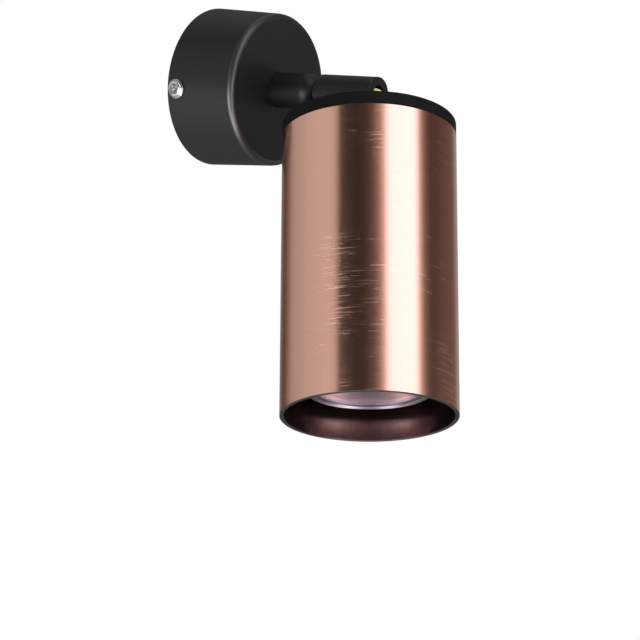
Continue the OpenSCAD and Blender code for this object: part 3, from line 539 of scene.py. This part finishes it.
# Cuts shapes out of a piece and keeps the result as its mesh
def cutOut(bm, cutters):
    piece = looseObject("blank", bm)
    tools = [looseObject("cutter", cutter) for cutter in cutters]
    for tool in tools:
        modifier = piece.modifiers.new("cut", "BOOLEAN")
        modifier.operation = "DIFFERENCE"
        modifier.solver = "EXACT"
        modifier.object = tool
    cut = bpy.data.meshes.new_from_object(piece.evaluated_get(bpy.context.evaluated_depsgraph_get()))
    for spare in [piece, *tools]:
        data = spare.data
        bpy.data.objects.remove(spare)
        bpy.data.meshes.remove(data)
    result = bmesh.new()
    result.from_mesh(cut)
    bpy.data.meshes.remove(cut)
    return result


def finishPiece(name, bm, place, body, slot, nodes=(), looks=None, sharp=38):
    bm.transform(place)
    piece = looseObject(name, bm)
    mesh = piece.data
    for look in looks or [slot]:
        mesh.materials.append(materials[look])
    if sharp is not None:
        mesh.polygons.foreach_set("use_smooth", [True] * len(mesh.polygons))
        mesh.set_sharp_from_angle(angle=math.radians(sharp))
        weights = piece.modifiers.new("weights", "WEIGHTED_NORMAL")
        weights.keep_sharp = True
    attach(piece, body)
    if nodes:
        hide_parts(*nodes)
    return piece


# A CAD node's own shape with its sharp edges softened
def softenNode(node, piece, body, slot, width=0.15, segments=2, angle=32):
    bm = bmesh.new()
    bm.from_mesh(frame["nodes"][node].data)
    bmesh.ops.remove_doubles(bm, verts=bm.verts, dist=0.001 * mm)
    flat = [edge for edge in bm.edges if edge.calc_face_angle(1) < math.radians(0.2)]
    bmesh.ops.dissolve_edges(bm, edges=flat, use_verts=True, use_face_split=True)
    result = finishPiece(piece, bm, Matrix.Identity(4), body, slot, [node], sharp=None)
    mesh = result.data
    if "custom_normal" in mesh.attributes:
        mesh.attributes.remove(mesh.attributes["custom_normal"])
    mesh.polygons.foreach_set("material_index", [0] * len(mesh.polygons))
    while len(mesh.materials) > 1:
        mesh.materials.pop()
    mesh.polygons.foreach_set("use_smooth", [True] * len(mesh.polygons))
    mesh.set_sharp_from_angle(angle=math.radians(angle))
    bevel = result.modifiers.new("softEdges", "BEVEL")
    bevel.width = width * mm
    bevel.segments = segments
    bevel.limit_method = "ANGLE"
    bevel.angle_limit = math.radians(angle)
    weights = result.modifiers.new("weights", "WEIGHTED_NORMAL")
    weights.keep_sharp = True
    return result


# Canopy: a drawn cup with a slight draft and a round front edge
canopyShape = {
    "wallR": 32.85, "frontR": 31.55, "depth": 32.6, "wall": 1.5, "corner": 2.3, "hole": 5.2, "edge": 0.3,
    "screwOut": 4.6, "screwHole": 2.2,
}


def makeCanopy():
    shape = canopyShape
    corner = (shape["frontR"] - shape["corner"], shape["depth"] - shape["corner"])
    inner = shape["depth"] - shape["wall"]
    bm = spinOutline(
        [(shape["wallR"] - shape["wall"], 0), (shape["wallR"], 0)]
        + arcPoints(corner, shape["corner"], 0, 90, 10)
        + [(shape["hole"], shape["depth"]), (shape["hole"], inner)]
        + arcPoints(corner, shape["corner"] - shape["wall"], 90, 0, 8),
        steps=144,
    )
    roundEdges(bm, shape["edge"], angle=40)
    cutters = []
    holeR = shape["screwHole"] * mm
    for side in (-1, 1):
        hole = bmesh.new()
        bmesh.ops.create_cone(hole, cap_ends=True, segments=40, radius1=holeR, radius2=holeR, depth=8 * mm)
        place = Vector((side * shape["wallR"], 0, shape["screwOut"])) * mm
        hole.transform(Matrix.Translation(place) @ Matrix.Rotation(math.radians(90), 4, "Y"))
        cutters.append(hole)
    bm = cutOut(bm, cutters)
    for face in bm.faces:  # the coat is smoother round the front edge
        centre = face.calc_center_median()
        reach = Vector((centre.x, centre.y)).length
        if face.normal.z > 0 and reach > corner[0] * mm and centre.z > corner[1] * mm:
            face.material_index = 1
    finishPiece("canopyCup", bm, wallFrame, "base", "black_coat", ["canopy"], ["black_coat", "edgeCoat"])


# Side screws: a flange, a pan with a cross recess, and a threaded shank into the ear
sideScrew = {
    "out": 4.6, "flangeR": 4.0, "flangeT": 0.42, "panR": 3.25, "panH": 1.5, "shankR": 1.9,
    "shankL": 6.2, "crossW": 0.95, "crossL": 4.7, "crossDeep": 1.0,
}


def crossCutters(width, length, top, depth, turn):
    bars = []
    for angle in (turn, turn + 90):
        bar = bmesh.new()
        bmesh.ops.create_cube(bar, size=1)
        bmesh.ops.scale(bar, verts=bar.verts, vec=(length * mm, width * mm, 4 * mm))
        low = [vert for vert in bar.verts if vert.co.z < 0]
        bmesh.ops.scale(bar, verts=low, vec=(0.62, 0.7, 1))
        lift = Matrix.Translation((0, 0, (top - depth + 2) * mm))
        bar.transform(Matrix.Rotation(math.radians(angle), 4, "Z") @ lift)
        bars.append(bar)
    return bars


def makeSideScrews():
    shape = sideScrew
    pan = shape["panR"]
    high = shape["panH"]
    for side, name in ((-1, "sideScrewLeft"), (1, "sideScrewRight")):
        bm = spinOutline(
            [(0, -shape["shankL"]), (shape["shankR"] - 0.4, -shape["shankL"]),
             (shape["shankR"], -shape["shankL"] + 0.4), (shape["shankR"], 0), (shape["flangeR"] - 0.1, 0),
             (shape["flangeR"], 0.1), (shape["flangeR"], 0.26), (shape["flangeR"] - 0.16, shape["flangeT"]),
             (pan + 0.18, shape["flangeT"] - 0.04), (pan, shape["flangeT"] + 0.1)]
            + arcPoints((pan - 0.72, high - 0.78), 0.72, 0, 70, 5)
            + [(pan - 1.2, high - 0.03), (0, high)],
            steps=64,
        )
        bm = cutOut(bm, crossCutters(shape["crossW"], shape["crossL"], high, shape["crossDeep"], 38))
        roundEdges(bm, 0.06, angle=50, segments=1)
        place = Matrix.Translation(Vector((side * canopyRadiusAt(shape["out"] - 4), 0, shape["out"])) * mm)
        turn = Matrix.Rotation(math.radians(side * 90), 4, "Y")
        nodes = ["canopy_screws"] if side < 0 else []
        finishPiece(name, bm, wallFrame @ place @ turn, "base", "screw_chrome", nodes, sharp=30)


def canopyRadiusAt(out):
    shape = canopyShape
    return shape["wallR"] + (shape["frontR"] - shape["wallR"]) * out / (shape["depth"] - shape["corner"])


# Hub collar with its round nose and spigot
hubShape = {
    "start": 32.6, "radius": 7.35, "nose": 47.8, "neck": 53.2, "shoulder": 0.25, "spigotR": 4.6,
    "spigotEnd": 63.4, "boreR": 3.05, "socketR": 5.05, "socketEnd": 47.1,
}


def makeHub():
    shape = hubShape
    drop = shape["radius"] - shape["spigotR"] - shape["shoulder"]
    length = shape["neck"] - shape["nose"]
    noseR = (length ** 2 + drop ** 2) / (2 * drop)
    sweep = math.degrees(math.acos(1 - drop / noseR))
    bm = spinOutline(
        [(shape["socketR"], shape["start"]), (shape["radius"], shape["start"])]
        + arcPoints((shape["radius"] - noseR, shape["nose"]), noseR, 0, sweep, 12)
        + [(shape["spigotR"], shape["neck"]), (shape["spigotR"], shape["spigotEnd"]),
           (shape["boreR"], shape["spigotEnd"]), (shape["boreR"], shape["socketEnd"]),
           (shape["socketR"], shape["socketEnd"])],
        steps=96,
    )
    roundEdges(bm, 0.12, angle=40, segments=2)
    finishPiece("hubTurned", bm, wallFrame, "base", "black_coat", ["hub_collar"], ["armCoat"])


# Head tube: copper outside, a dark inside, cut ends and broken edges
tubeShape = {"outerR": 34.97, "innerR": 33.3, "top": -15.9, "mouth": -133.1, "edge": 0.22, "topEdge": 0.28}
tubeLooks = ["copper_finish", "tubeInside", "tubeEnd", "bareEdge"]


def makeHeadTube():
    shape = tubeShape
    outer, inner, edge = shape["outerR"], shape["innerR"], shape["edge"]
    bm = spinOutline(
        [(inner, shape["mouth"] + edge), (inner + edge, shape["mouth"]), (outer - edge, shape["mouth"]),
         (outer, shape["mouth"] + edge), (outer, shape["top"] - shape["topEdge"]),
         (outer - shape["topEdge"], shape["top"]), (inner, shape["top"])],
        steps=192,
    )
    for face in bm.faces:
        centre = face.calc_center_median()
        facing = face.normal.dot(Vector((centre.x, centre.y, 0)).normalized())
        if facing > 0.9:
            face.material_index = 0
        elif facing < -0.3:
            face.material_index = 1
        elif facing < 0.3:
            face.material_index = 2
        else:
            face.material_index = 3
    finishPiece("headTube", bm, headFrame, "head", "copper_finish", ["head_tube"], tubeLooks, sharp=30)


# Top cap: a turned plate with a rim on the tube and a spigot inside it
capShape = {
    "outerR": 34.97, "top": -10.7, "rim": -15.9, "plate": -13.7, "hole": 5.2, "spigotR": 33.25,
    "spigotT": 2.8, "spigotEnd": -21.5, "edge": 0.5,
}


def makeTopCap():
    shape = capShape
    edge = shape["edge"]
    inside = shape["spigotR"] - shape["spigotT"]
    bm = spinOutline(
        [(shape["hole"], shape["plate"]), (shape["hole"], shape["top"])]
        + arcPoints((shape["outerR"] - edge, shape["top"] - edge), edge, 90, 0, 6)
        + [(shape["outerR"], shape["rim"] + 0.12), (shape["outerR"] - 0.14, shape["rim"]),
           (shape["spigotR"], shape["rim"]), (shape["spigotR"], shape["spigotEnd"] + 0.5),
           (shape["spigotR"] - 0.5, shape["spigotEnd"]), (inside, shape["spigotEnd"]),
           (inside, shape["plate"])],
        steps=192,
    )
    finishPiece("capTurned", bm, headFrame, "head", "black_coat", ["top_cap"], ["capCoat"], sharp=34)


# Lamp: a faceted bowl, a grooved ring, a flat glass and a hollow glass burner
lampShape = {
    "bowlTop": -85.6, "bowlTopR": 10.5, "rimTop": -118.6, "mouthR": 24.6, "wall": 1.4, "glassTop": -120.65,
    "glassFace": -121.8, "glassR": 24.4, "ringR": 25.4, "lipR": 22.7, "face": -122.6,
    "burnerR": 4.6, "burnerL": 20.0, "facetSteps": 54, "facetRows": 9, "bowlCurve": 0.62,
}
# The ring's two grooves, as radius and depth
ringLine = [
    (24.45, 0), (24.3, 0.22), (24.05, 0.22), (23.9, 0), (23.6, 0), (23.45, 0.16), (23.25, 0.16), (23.1, 0),
    (22.95, 0), (22.7, 0.3),
]


def bowlPoint(share, topR, mouthR):
    shape = lampShape
    height = shape["bowlTop"] + (shape["rimTop"] - shape["bowlTop"]) * share
    return topR + (mouthR - topR) * share ** shape["bowlCurve"], height


def makeReflector():
    shape = lampShape
    rows = shape["facetRows"]
    topR, mouthR, wall = shape["bowlTopR"], shape["mouthR"], shape["wall"]
    seat = shape["glassTop"] + 0.05
    bm = spinOutline(
        [bowlPoint(step / 14, topR, mouthR) for step in range(15)]
        + [(mouthR, seat), (mouthR - wall, seat)]
        + [bowlPoint(1 - row / rows, topR - wall, mouthR - wall) for row in range(rows + 1)],
        steps=shape["facetSteps"],
    )
    piece = finishPiece("lampBowl", bm, headFrame, "head", "reflector", ["lamp_reflector"], sharp=None)
    centre = headFrame.to_translation()
    axis = headAxis.normalized()
    for polygon in piece.data.polygons:
        away = polygon.center - centre
        outward = away - axis * away.dot(axis)
        polygon.use_smooth = polygon.normal.dot(outward) > 0


def makeRing():
    shape = lampShape
    face = shape["face"]
    inside = shape["mouthR"] + 0.05
    under = shape["glassFace"] - 0.05
    bm = spinOutline(
        [(inside, shape["rimTop"]), (shape["ringR"], shape["rimTop"]), (shape["ringR"], face + 0.6)]
        + arcPoints((shape["ringR"] - 0.5, face + 0.5), 0.5, 0, -90, 5)[1:]
        + [(radius, face + depth) for radius, depth in ringLine]
        + [(shape["lipR"], under), (inside, under)],
        steps=144,
    )
    finishPiece("lampRing", bm, headFrame, "head", "lamp_rim", ["lamp_ring"], sharp=25)


def makeLampGlass():
    shape = lampShape
    radius, top, face = shape["glassR"], shape["glassTop"], shape["glassFace"]
    bm = spinOutline(
        [(0, face), (radius - 2.2, face), (radius - 0.2, face), (radius, face + 0.2), (radius, top - 0.2),
         (radius - 0.2, top), (0, top)],
        steps=96,
    )
    finishPiece("lampLens", bm, headFrame, "head", "lamp_glass", ["lamp_glass"], sharp=30)


def makeBurner():
    shape = lampShape
    radius = shape["burnerR"]
    top = shape["bowlTop"]
    middle = top - shape["burnerL"] + radius
    bm = spinOutline(
        [(0, top), (radius, top)] + arcPoints((0, middle), radius, 0, -90, 10)
        + arcPoints((0, middle), radius - 0.7, -90, 0, 8) + [(radius - 0.7, top - 3), (0, top - 3)],
        steps=48,
    )
    finishPiece("lampBurner", bm, headFrame, "head", "capsule_glass", ["lamp_capsule"], sharp=40)


# Wires: the insulation is swept along a smooth path, with a UV map along and round it
wireShape = {"radius": 0.9, "sides": 18, "bundle": 1.125}


def smoothPath(points, steps):
    path = []
    last = len(points) - 1
    for index in range(last):
        before, here, after, beyond = (Vector(points[min(max(index + k, 0), last)]) for k in (-1, 0, 1, 2))
        for step in range(steps):
            t = step / steps
            path.append(0.5 * (
                2 * here + (after - before) * t + (2 * before - 5 * here + 4 * after - beyond) * t ** 2
                + (3 * here - before - 3 * after + beyond) * t ** 3
            ))
    return path + [Vector(points[-1])]


def sweepWire(path, radius, sides):
    bm = bmesh.new()
    along = bm.verts.layers.float.new("along")
    around = bm.verts.layers.float.new("around")
    heading = (path[1] - path[0]).normalized()
    turn = Vector((0, 0, 1)).rotation_difference(heading).to_matrix().to_4x4()
    place = Matrix.Translation(path[0]) @ turn
    verts = bmesh.ops.create_circle(bm, cap_ends=True, segments=sides, radius=radius, matrix=place)["verts"]
    for index, vert in enumerate(verts):
        vert[around] = index / sides
    edges = list(bm.edges)
    travelled = 0.0
    for index in range(1, len(path)):
        grown = bmesh.ops.extrude_edge_only(bm, edges=edges)["geom"]
        verts = [item for item in grown if isinstance(item, bmesh.types.BMVert)]
        edges = [item for item in grown if isinstance(item, bmesh.types.BMEdge)]
        after = (path[min(index + 1, len(path) - 1)] - path[index - 1]).normalized()
        turn = heading.rotation_difference(after).to_matrix()
        bmesh.ops.rotate(bm, verts=verts, cent=path[index - 1], matrix=turn)
        bmesh.ops.translate(bm, verts=verts, vec=path[index] - path[index - 1])
        heading = after
        travelled += (path[index] - path[index - 1]).length
        for vert in verts:
            vert[along] = travelled
    bmesh.ops.contextual_create(bm, geom=edges)
    bmesh.ops.recalc_face_normals(bm, faces=bm.faces)
    layer = bm.loops.layers.uv.new("wireMap")
    for face in bm.faces:
        wraps = max(vert[around] for vert in face.verts) > 0.75
        for loop in face.loops:
            share = loop.vert[around]
            loop[layer].uv = (loop.vert[along] / mm, share + 1 if wraps and share < 0.25 else share)
    return bm


def inFrame(place, points):
    return [place @ (Vector(point) * mm) for point in points]


# From the terminals to the hub; each wire then runs down the nipple and the bolt
baseWires = {
    "earth": [(-13.6, 5, 3.3), (-13.6, 11, 3.3), (-13.3, 13.5, 4.5), (-10.6, 14.5, 11.3), (-5.6, 8.5, 18.5)],
    "live": [(8, -7, 5.8), (8, -13, 5.8), (9, -18, 9.3), (10.5, -14, 15.8), (7, -4, 19.5)],
    "neutral": [(0, -7, 5.8), (0, -13, 5.8), (0, -18, 9.8), (0, -15, 15.8), (0, -6.5, 19.0)],
}


def makeBaseWires():
    shape = wireShape
    for name, start in baseWires.items():
        x, y = bundlePlace(name)
        points = start + [(x * 1.6, y * 2, 21.8), (x, y, 25.3), (x, y, 39), (x, y, 54), (x, y, 69.2)]
        bm = sweepWire(smoothPath(inFrame(wallFrame, points), 8), shape["radius"] * mm, shape["sides"])
        node = "base_" + name + "_wire"
        finishPiece(name + "WireBase", bm, Matrix.Identity(4), "base", slotOf[node], [node], sharp=60)


def bundlePlace(name):
    angle = math.radians({"earth": 150, "live": 30, "neutral": 270}[name])
    return wireShape["bundle"] * math.cos(angle), wireShape["bundle"] * math.sin(angle)


# From the arm's bolt over the tongue, out of the open end, and down the lug's slanted ways
crossing = {
    "wayX": 4.5, "wayY": 1.7, "wayTop": -6.62, "lean": 27.0, "innerX": 1.25, "innerY": 1.1,
    "bendStart": (0, 0.2, 80.8), "bendEnd": (0, -4.6, 82.9),
}
crossingWires = {
    "earth": {
        "side": -1, "front": 1, "row": -2.49,
        "exit": [(-2.6, 1.55, 81.7), (-3.2, 0.3, 83.3), (-4.4, -2.4, 84.6), (-5.9, -5.6, 83.6)],
        "tail": [(-0.6, 4, -24.7), (6.75, 7.05, -25.6), (12.75, 4.05, -27.6), (14.75, 2.55, -31.1),
                 (14.75, 2.55, -35.1)],
    },
    "live": {
        "side": 1, "front": 1, "row": 1.25,
        "exit": [(1.7, 1.6, 82.4), (3.0, 0.6, 84.1), (4.7, -1.9, 85.2), (6.3, -5.3, 83.8)],
        "tail": [(2.4, 3, -32.1), (3.4, 2.4, -42.1), (5, 0, -48.55), (5, 0, -55.55)],
    },
    "neutral": {
        "side": 1, "front": -1, "row": -0.62,
        "exit": [(-0.5, 1.6, 82.4), (0.3, 0.7, 84.3), (2.0, -1.7, 85.9), (4.4, -5.0, 85.6)],
        "tail": [(-3, -2, -32.1), (-5, -2.4, -42.1), (-5, 0, -48.55), (-5, 0, -55.55)],
    },
}


def makeCrossingWires():
    shape = wireShape
    lean = math.radians(crossing["lean"])
    for name, wire in crossingWires.items():
        x, y = bundlePlace(name)
        side, front, row = wire["side"], wire["front"], wire["row"]
        rise = 0.3 if name == "neutral" else 0.6
        armPoints = [
            (x, y, 69.8), (x, y, 70.6), (x + 0.85 * (row - x), y + rise * (1.75 - y), 73.25),
            (row, 1.75, 75.9), (row, 1.75, 80.6), *wire["exit"],
        ]
        top = Vector((side * crossing["wayX"], front * crossing["wayY"], crossing["wayTop"]))
        way = Vector((side * math.sin(lean), 0, math.cos(lean)))
        innerX, innerY = side * crossing["innerX"], front * crossing["innerY"]
        headPoints = [
            top + way * 1.6, top, top - way * 3, top - way * 6, (innerX, innerY, -14.3),
            (innerX, innerY, -20.7), *wire["tail"],
        ]
        path = smoothPath(inFrame(armFrame, armPoints) + inFrame(headFrame, headPoints), 6)
        bm = sweepWire(path, shape["radius"] * mm, shape["sides"])
        nodes = ["arm_" + name + "_wire", "head_" + name + "_wire"]
        piece = looseObject(name + "WireHead", bm)
        piece.data.materials.append(materials[slotOf[nodes[0]]])
        piece.data.polygons.foreach_set("use_smooth", [True] * len(piece.data.polygons))
        piece.data.set_sharp_from_angle(angle=math.radians(60))
        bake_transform(piece)
        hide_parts(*nodes)


makeCanopy()
makeSideScrews()
makeHub()
print("base pieces made")
makeHeadTube()
makeTopCap()
makeReflector()
makeRing()
makeLampGlass()
makeBurner()
print("head pieces made")
makeBaseWires()
makeCrossingWires()
print("wires made")

# The other hardware keeps its CAD shape, with softened edges
softenedNodes = {
    "base": {
        "mounting_bracket": ("bracketPlate", 0.2), "terminal_block": ("terminalStrip", 0.35),
        "terminal_tubes": ("clampTubes", 0.12), "terminal_screws": ("clampScrews", 0.1),
        "block_screw": ("stripScrew", 0.12), "earth_screw": ("earthScrew", 0.15),
        "earth_washer": ("earthWasher", 0.12), "nipple_nut": ("nippleNut", 0.25),
        "nipple_washer": ("toothedWasher", 0.1),
    },
    "arm": {"arm_tube": ("armTurned", 0.2), "pivot_screw": ("pivotScrew", 0.15)},
    "head": {
        "tilt_lug": ("tiltLug", 0.25), "lug_nut": ("lugNut", 0.25), "lug_washer": ("lugWasher", 0.12),
        "holder_bracket": ("holderStrip", 0.2), "lamp_holder": ("holderBody", 0.35),
        "holder_screws": ("holderScrews", 0.12), "bracket_earth_screw": ("headEarthScrew", 0.12),
        "lamp_base": ("lampNeck", 0.3), "lamp_pins": ("lampPins", 0.2),
    },
}
for body, nodes in softenedNodes.items():
    for node, (piece, width) in nodes.items():
        softened = softenNode(node, piece, body, slotOf[node], width)
        if slotOf[node] == "black_coat":
            softened.data.materials[0] = materials["armCoat"]
print("hardware softened")


# Floor, world and lights
lightSetup = {"floorDrop": 3.8, "floorSize": 15, "worldLevel": 0.45, "tentRadius": 1.6, "tentHeight": 3.2}


def whiteForView(tree, plain, output, surface):
    path = tree.nodes.new("ShaderNodeLightPath")
    seen = mathNode(tree, "ADD", path.outputs["Is Camera Ray"], path.outputs["Is Glossy Ray"])
    seen = mathNode(tree, "ADD", seen, path.outputs["Is Transmission Ray"], clamp=True)
    white = tree.nodes.new("ShaderNodeBackground" if surface == "world" else "ShaderNodeEmission")
    white.inputs["Color"].default_value = (1, 1, 1, 1)
    white.inputs["Strength"].default_value = 1.0
    mix = tree.nodes.new("ShaderNodeMixShader")
    link(tree, seen, mix.inputs[0])
    link(tree, plain, mix.inputs[1])
    link(tree, white.outputs[0], mix.inputs[2])
    link(tree, mix.outputs[0], output.inputs["Surface"])


def makeWorld():
    world = bpy.data.worlds.new("studio")
    bpy.context.scene.world = world
    world.use_nodes = True
    tree = world.node_tree
    plain = tree.nodes["Background"]
    plain.inputs["Color"].default_value = (1, 1, 1, 1)
    plain.inputs["Strength"].default_value = lightSetup["worldLevel"]
    whiteForView(tree, plain.outputs[0], tree.nodes["World Output"], "world")


def makeFloor():
    bm = bmesh.new()
    bmesh.ops.create_grid(bm, x_segments=1, y_segments=1, size=lightSetup["floorSize"])
    bmesh.ops.translate(bm, verts=bm.verts, vec=(0, 0, -lightSetup["floorDrop"]))
    mesh = bpy.data.meshes.new("floor")
    bm.to_mesh(mesh)
    bm.free()
    floor = bpy.data.objects.new("floor", mesh)
    bpy.context.scene.collection.objects.link(floor)
    material = bpy.data.materials.new("floor")
    material.use_nodes = True
    tree = material.node_tree
    tree.nodes.remove(tree.nodes["Principled BSDF"])
    diffuse = tree.nodes.new("ShaderNodeBsdfDiffuse")
    diffuse.inputs["Color"].default_value = (0.8, 0.8, 0.8, 1)
    whiteForView(tree, diffuse.outputs[0], tree.nodes["Material Output"], "floor")
    mesh.materials.append(material)


# The studio that shows in the metal is a tent round the head's axis. Each band has the degrees to the
# right of the camera, its level and its tone
tones = {"warm": (1.0, 0.73, 0.64), "plain": (1.0, 1.0, 1.0), "cool": (1.0, 0.99, 1.18)}
ringBands = [
    (-180, 0.34, "plain"), (-168, 0.28, "plain"), (-142, 0.075, "warm"), (-128, 0.26, "warm"),
    (-117, 0.42, "plain"), (-98, 0.50, "plain"), (-84, 0.575, "plain"), (-70, 0.595, "plain"),
    (-58, 0.575, "plain"), (-47.5, 0.52, "plain"), (-42.5, 0.36, "plain"), (-38, 0.08, "warm"),
    (-35, 0.02, "warm"), (-25, 0.008, "warm"), (-14, 0.015, "warm"), (-4, 0.045, "warm"),
    (8.6, 0.12, "warm"), (14.2, 0.30, "warm"), (19.6, 0.74, "plain"), (24.6, 1.68, "cool"),
    (29, 1.85, "cool"), (61.6, 1.85, "cool"), (68.4, 0.62, "plain"), (74.3, 0.22, "warm"),
    (80.8, 0.10, "warm"), (87, 0.058, "warm"), (102, 0.08, "warm"), (121, 0.115, "warm"),
    (139, 0.15, "warm"), (154, 0.34, "plain"), (180, 0.34, "plain"),
]
lowBands = [
    (-180, 0.12, "plain"), (-150, 0.14, "plain"), (-125, 0.20, "plain"), (-97, 0.30, "plain"),
    (-76, 0.20, "plain"), (-64, 0.30, "plain"), (-50, 0.40, "plain"), (-42, 0.30, "plain"),
    (-34, 0.05, "plain"), (4, 0.05, "plain"), (14, 0.15, "plain"), (24, 0.50, "plain"),
    (44, 0.90, "plain"), (62, 0.90, "plain"), (74, 0.24, "plain"), (88, 0.24, "plain"),
    (102, 0.55, "plain"), (128, 0.55, "plain"), (150, 0.16, "plain"), (180, 0.12, "plain"),
]
deepBands = [
    (-180, 0.30, "plain"), (-160, 0.36, "plain"), (-131, 0.45, "plain"), (-115, 0.52, "plain"),
    (-97, 0.95, "plain"), (-84, 0.55, "plain"), (-72, 0.60, "plain"), (-52, 8.50, "plain"),
    (-24, 1.60, "plain"), (-8, 0.25, "plain"), (8, 0.25, "plain"), (24, 1.60, "plain"),
    (52, 8.50, "plain"), (85, 0.30, "plain"), (130, 0.25, "plain"), (180, 0.30, "plain"),
]
tentHeights = {
    "deep": (-0.32, -0.18), "ringLow": (0.04, 0.20), "ringHigh": (0.75, 1.05), "highLevel": 0.18,
    "above": 0.45, "below": 0.74,
}


def bandRamp(tree, share, bands):
    top = max(level for _, level, _ in bands) * 1.2
    ramp = tree.nodes.new("ShaderNodeValToRGB")
    while len(ramp.color_ramp.elements) > 1:
        ramp.color_ramp.elements.remove(ramp.color_ramp.elements[-1])
    for index, (degrees, level, tone) in enumerate(bands):
        place = (degrees + 180) / 360
        element = ramp.color_ramp.elements[0] if index == 0 else ramp.color_ramp.elements.new(place)
        element.position = place
        element.color = (*(level / top * part for part in tones[tone]), 1)
    link(tree, share, ramp.inputs[0])
    scale = tree.nodes.new("ShaderNodeVectorMath")
    scale.operation = "SCALE"
    scale.inputs["Scale"].default_value = top
    link(tree, ramp.outputs[0], scale.inputs[0])
    return scale.outputs[0]


def makeTent():
    toCamera = Vector(cameraSetup["place"]) * mm - headFrame.to_translation()
    axis = headAxis.normalized()
    front = (toCamera - axis * toCamera.dot(axis)).normalized()
    right = axis.cross(front)
    centre = headFrame @ Vector((0, 0, -75 * mm))
    radius = lightSetup["tentRadius"]
    height = lightSetup["tentHeight"]
    bm = bmesh.new()
    bmesh.ops.create_cone(bm, cap_ends=True, segments=64, radius1=radius, radius2=radius, depth=2 * height)
    mesh = bpy.data.meshes.new("studioTent")
    bm.to_mesh(mesh)
    bm.free()
    tent = bpy.data.objects.new("studioTent", mesh)
    bpy.context.scene.collection.objects.link(tent)
    turn = Matrix((front, right, axis)).transposed().to_4x4()
    tent.matrix_world = Matrix.Translation(centre) @ turn
    material = bpy.data.materials.new("studioTent")
    material.use_nodes = True
    tree = material.node_tree
    tree.nodes.remove(tree.nodes["Principled BSDF"])
    parts = tree.nodes.new("ShaderNodeSeparateXYZ")
    link(tree, localVector(tree), parts.inputs[0])
    angle = mathNode(tree, "ARCTAN2", parts.outputs[1], parts.outputs[0])
    share = mathNode(tree, "ADD", mathNode(tree, "DIVIDE", angle, 2 * math.pi), 0.5)
    slope = mathNode(tree, "DIVIDE", parts.outputs[2], radius)
    lower = rangeNode(tree, slope, *tentHeights["deep"])
    colour = mixColour(tree, lower, bandRamp(tree, share, deepBands), bandRamp(tree, share, lowBands))
    upper = rangeNode(tree, slope, *tentHeights["ringLow"])
    colour = mixColour(tree, upper, colour, bandRamp(tree, share, ringBands))
    high = tentHeights["highLevel"]
    colour = mixColour(tree, rangeNode(tree, slope, *tentHeights["ringHigh"]), colour, (high, high, high))
    top, bottom = tentHeights["above"], tentHeights["below"]
    edge = height / radius * 0.999
    colour = mixColour(tree, mathNode(tree, "GREATER_THAN", slope, edge), colour, (top, top, top))
    colour = mixColour(tree, mathNode(tree, "LESS_THAN", slope, -edge), colour, (bottom, bottom, bottom))
    emission = tree.nodes.new("ShaderNodeEmission")
    link(tree, colour, emission.inputs["Color"])
    link(tree, emission.outputs[0], tree.nodes["Material Output"].inputs["Surface"])
    mesh.materials.append(material)
    for ray in ("camera", "diffuse", "transmission", "volume_scatter", "shadow"):
        setattr(tent, "visible_" + ray, False)


def makeLamp(name, place, aim, size, power, glossy):
    data = bpy.data.lights.new(name, "AREA")
    data.shape = "DISK"
    data.size = size
    data.energy = power
    lamp = bpy.data.objects.new(name, data)
    bpy.context.scene.collection.objects.link(lamp)
    lamp.location = place
    lamp.rotation_euler = (Vector(aim) - Vector(place)).to_track_quat("-Z", "Y").to_euler()
    lamp.visible_glossy = glossy
    return lamp


makeWorld()
makeFloor()
makeTent()
# Place in metres, what it points at, size, power, and whether it shows in glossy surfaces
middle = headFrame @ Vector((0, 0, -60 * mm))
softLamps = {
    "softLeft": ((-1.2, -1.1, 0.9), middle, 0.9, 16, False),
    "softFront": ((0.4, -1.6, 0.3), middle, 0.9, 14, False),
    "lowBox": ((-0.66, -0.41, -0.75), (0, 0, 0), 0.48, 5, True),
    "highBox": ((-0.12, -0.40, 1.05), (0, 0, 0), 0.30, 1.1, True),
}
lamps = {name: makeLamp(name, *setup) for name, setup in softLamps.items()}

# The low lamp lights the canopy alone, because it would flash in the lamp's mirror
canopyOnly = bpy.data.collections.new("canopyOnly")
canopyOnly.objects.link(bpy.data.objects["canopyCup"])
lamps["lowBox"].light_linking.receiver_collection = canopyOnly
print("studio made")

view = bpy.context.scene.view_settings
view.view_transform = "Standard"
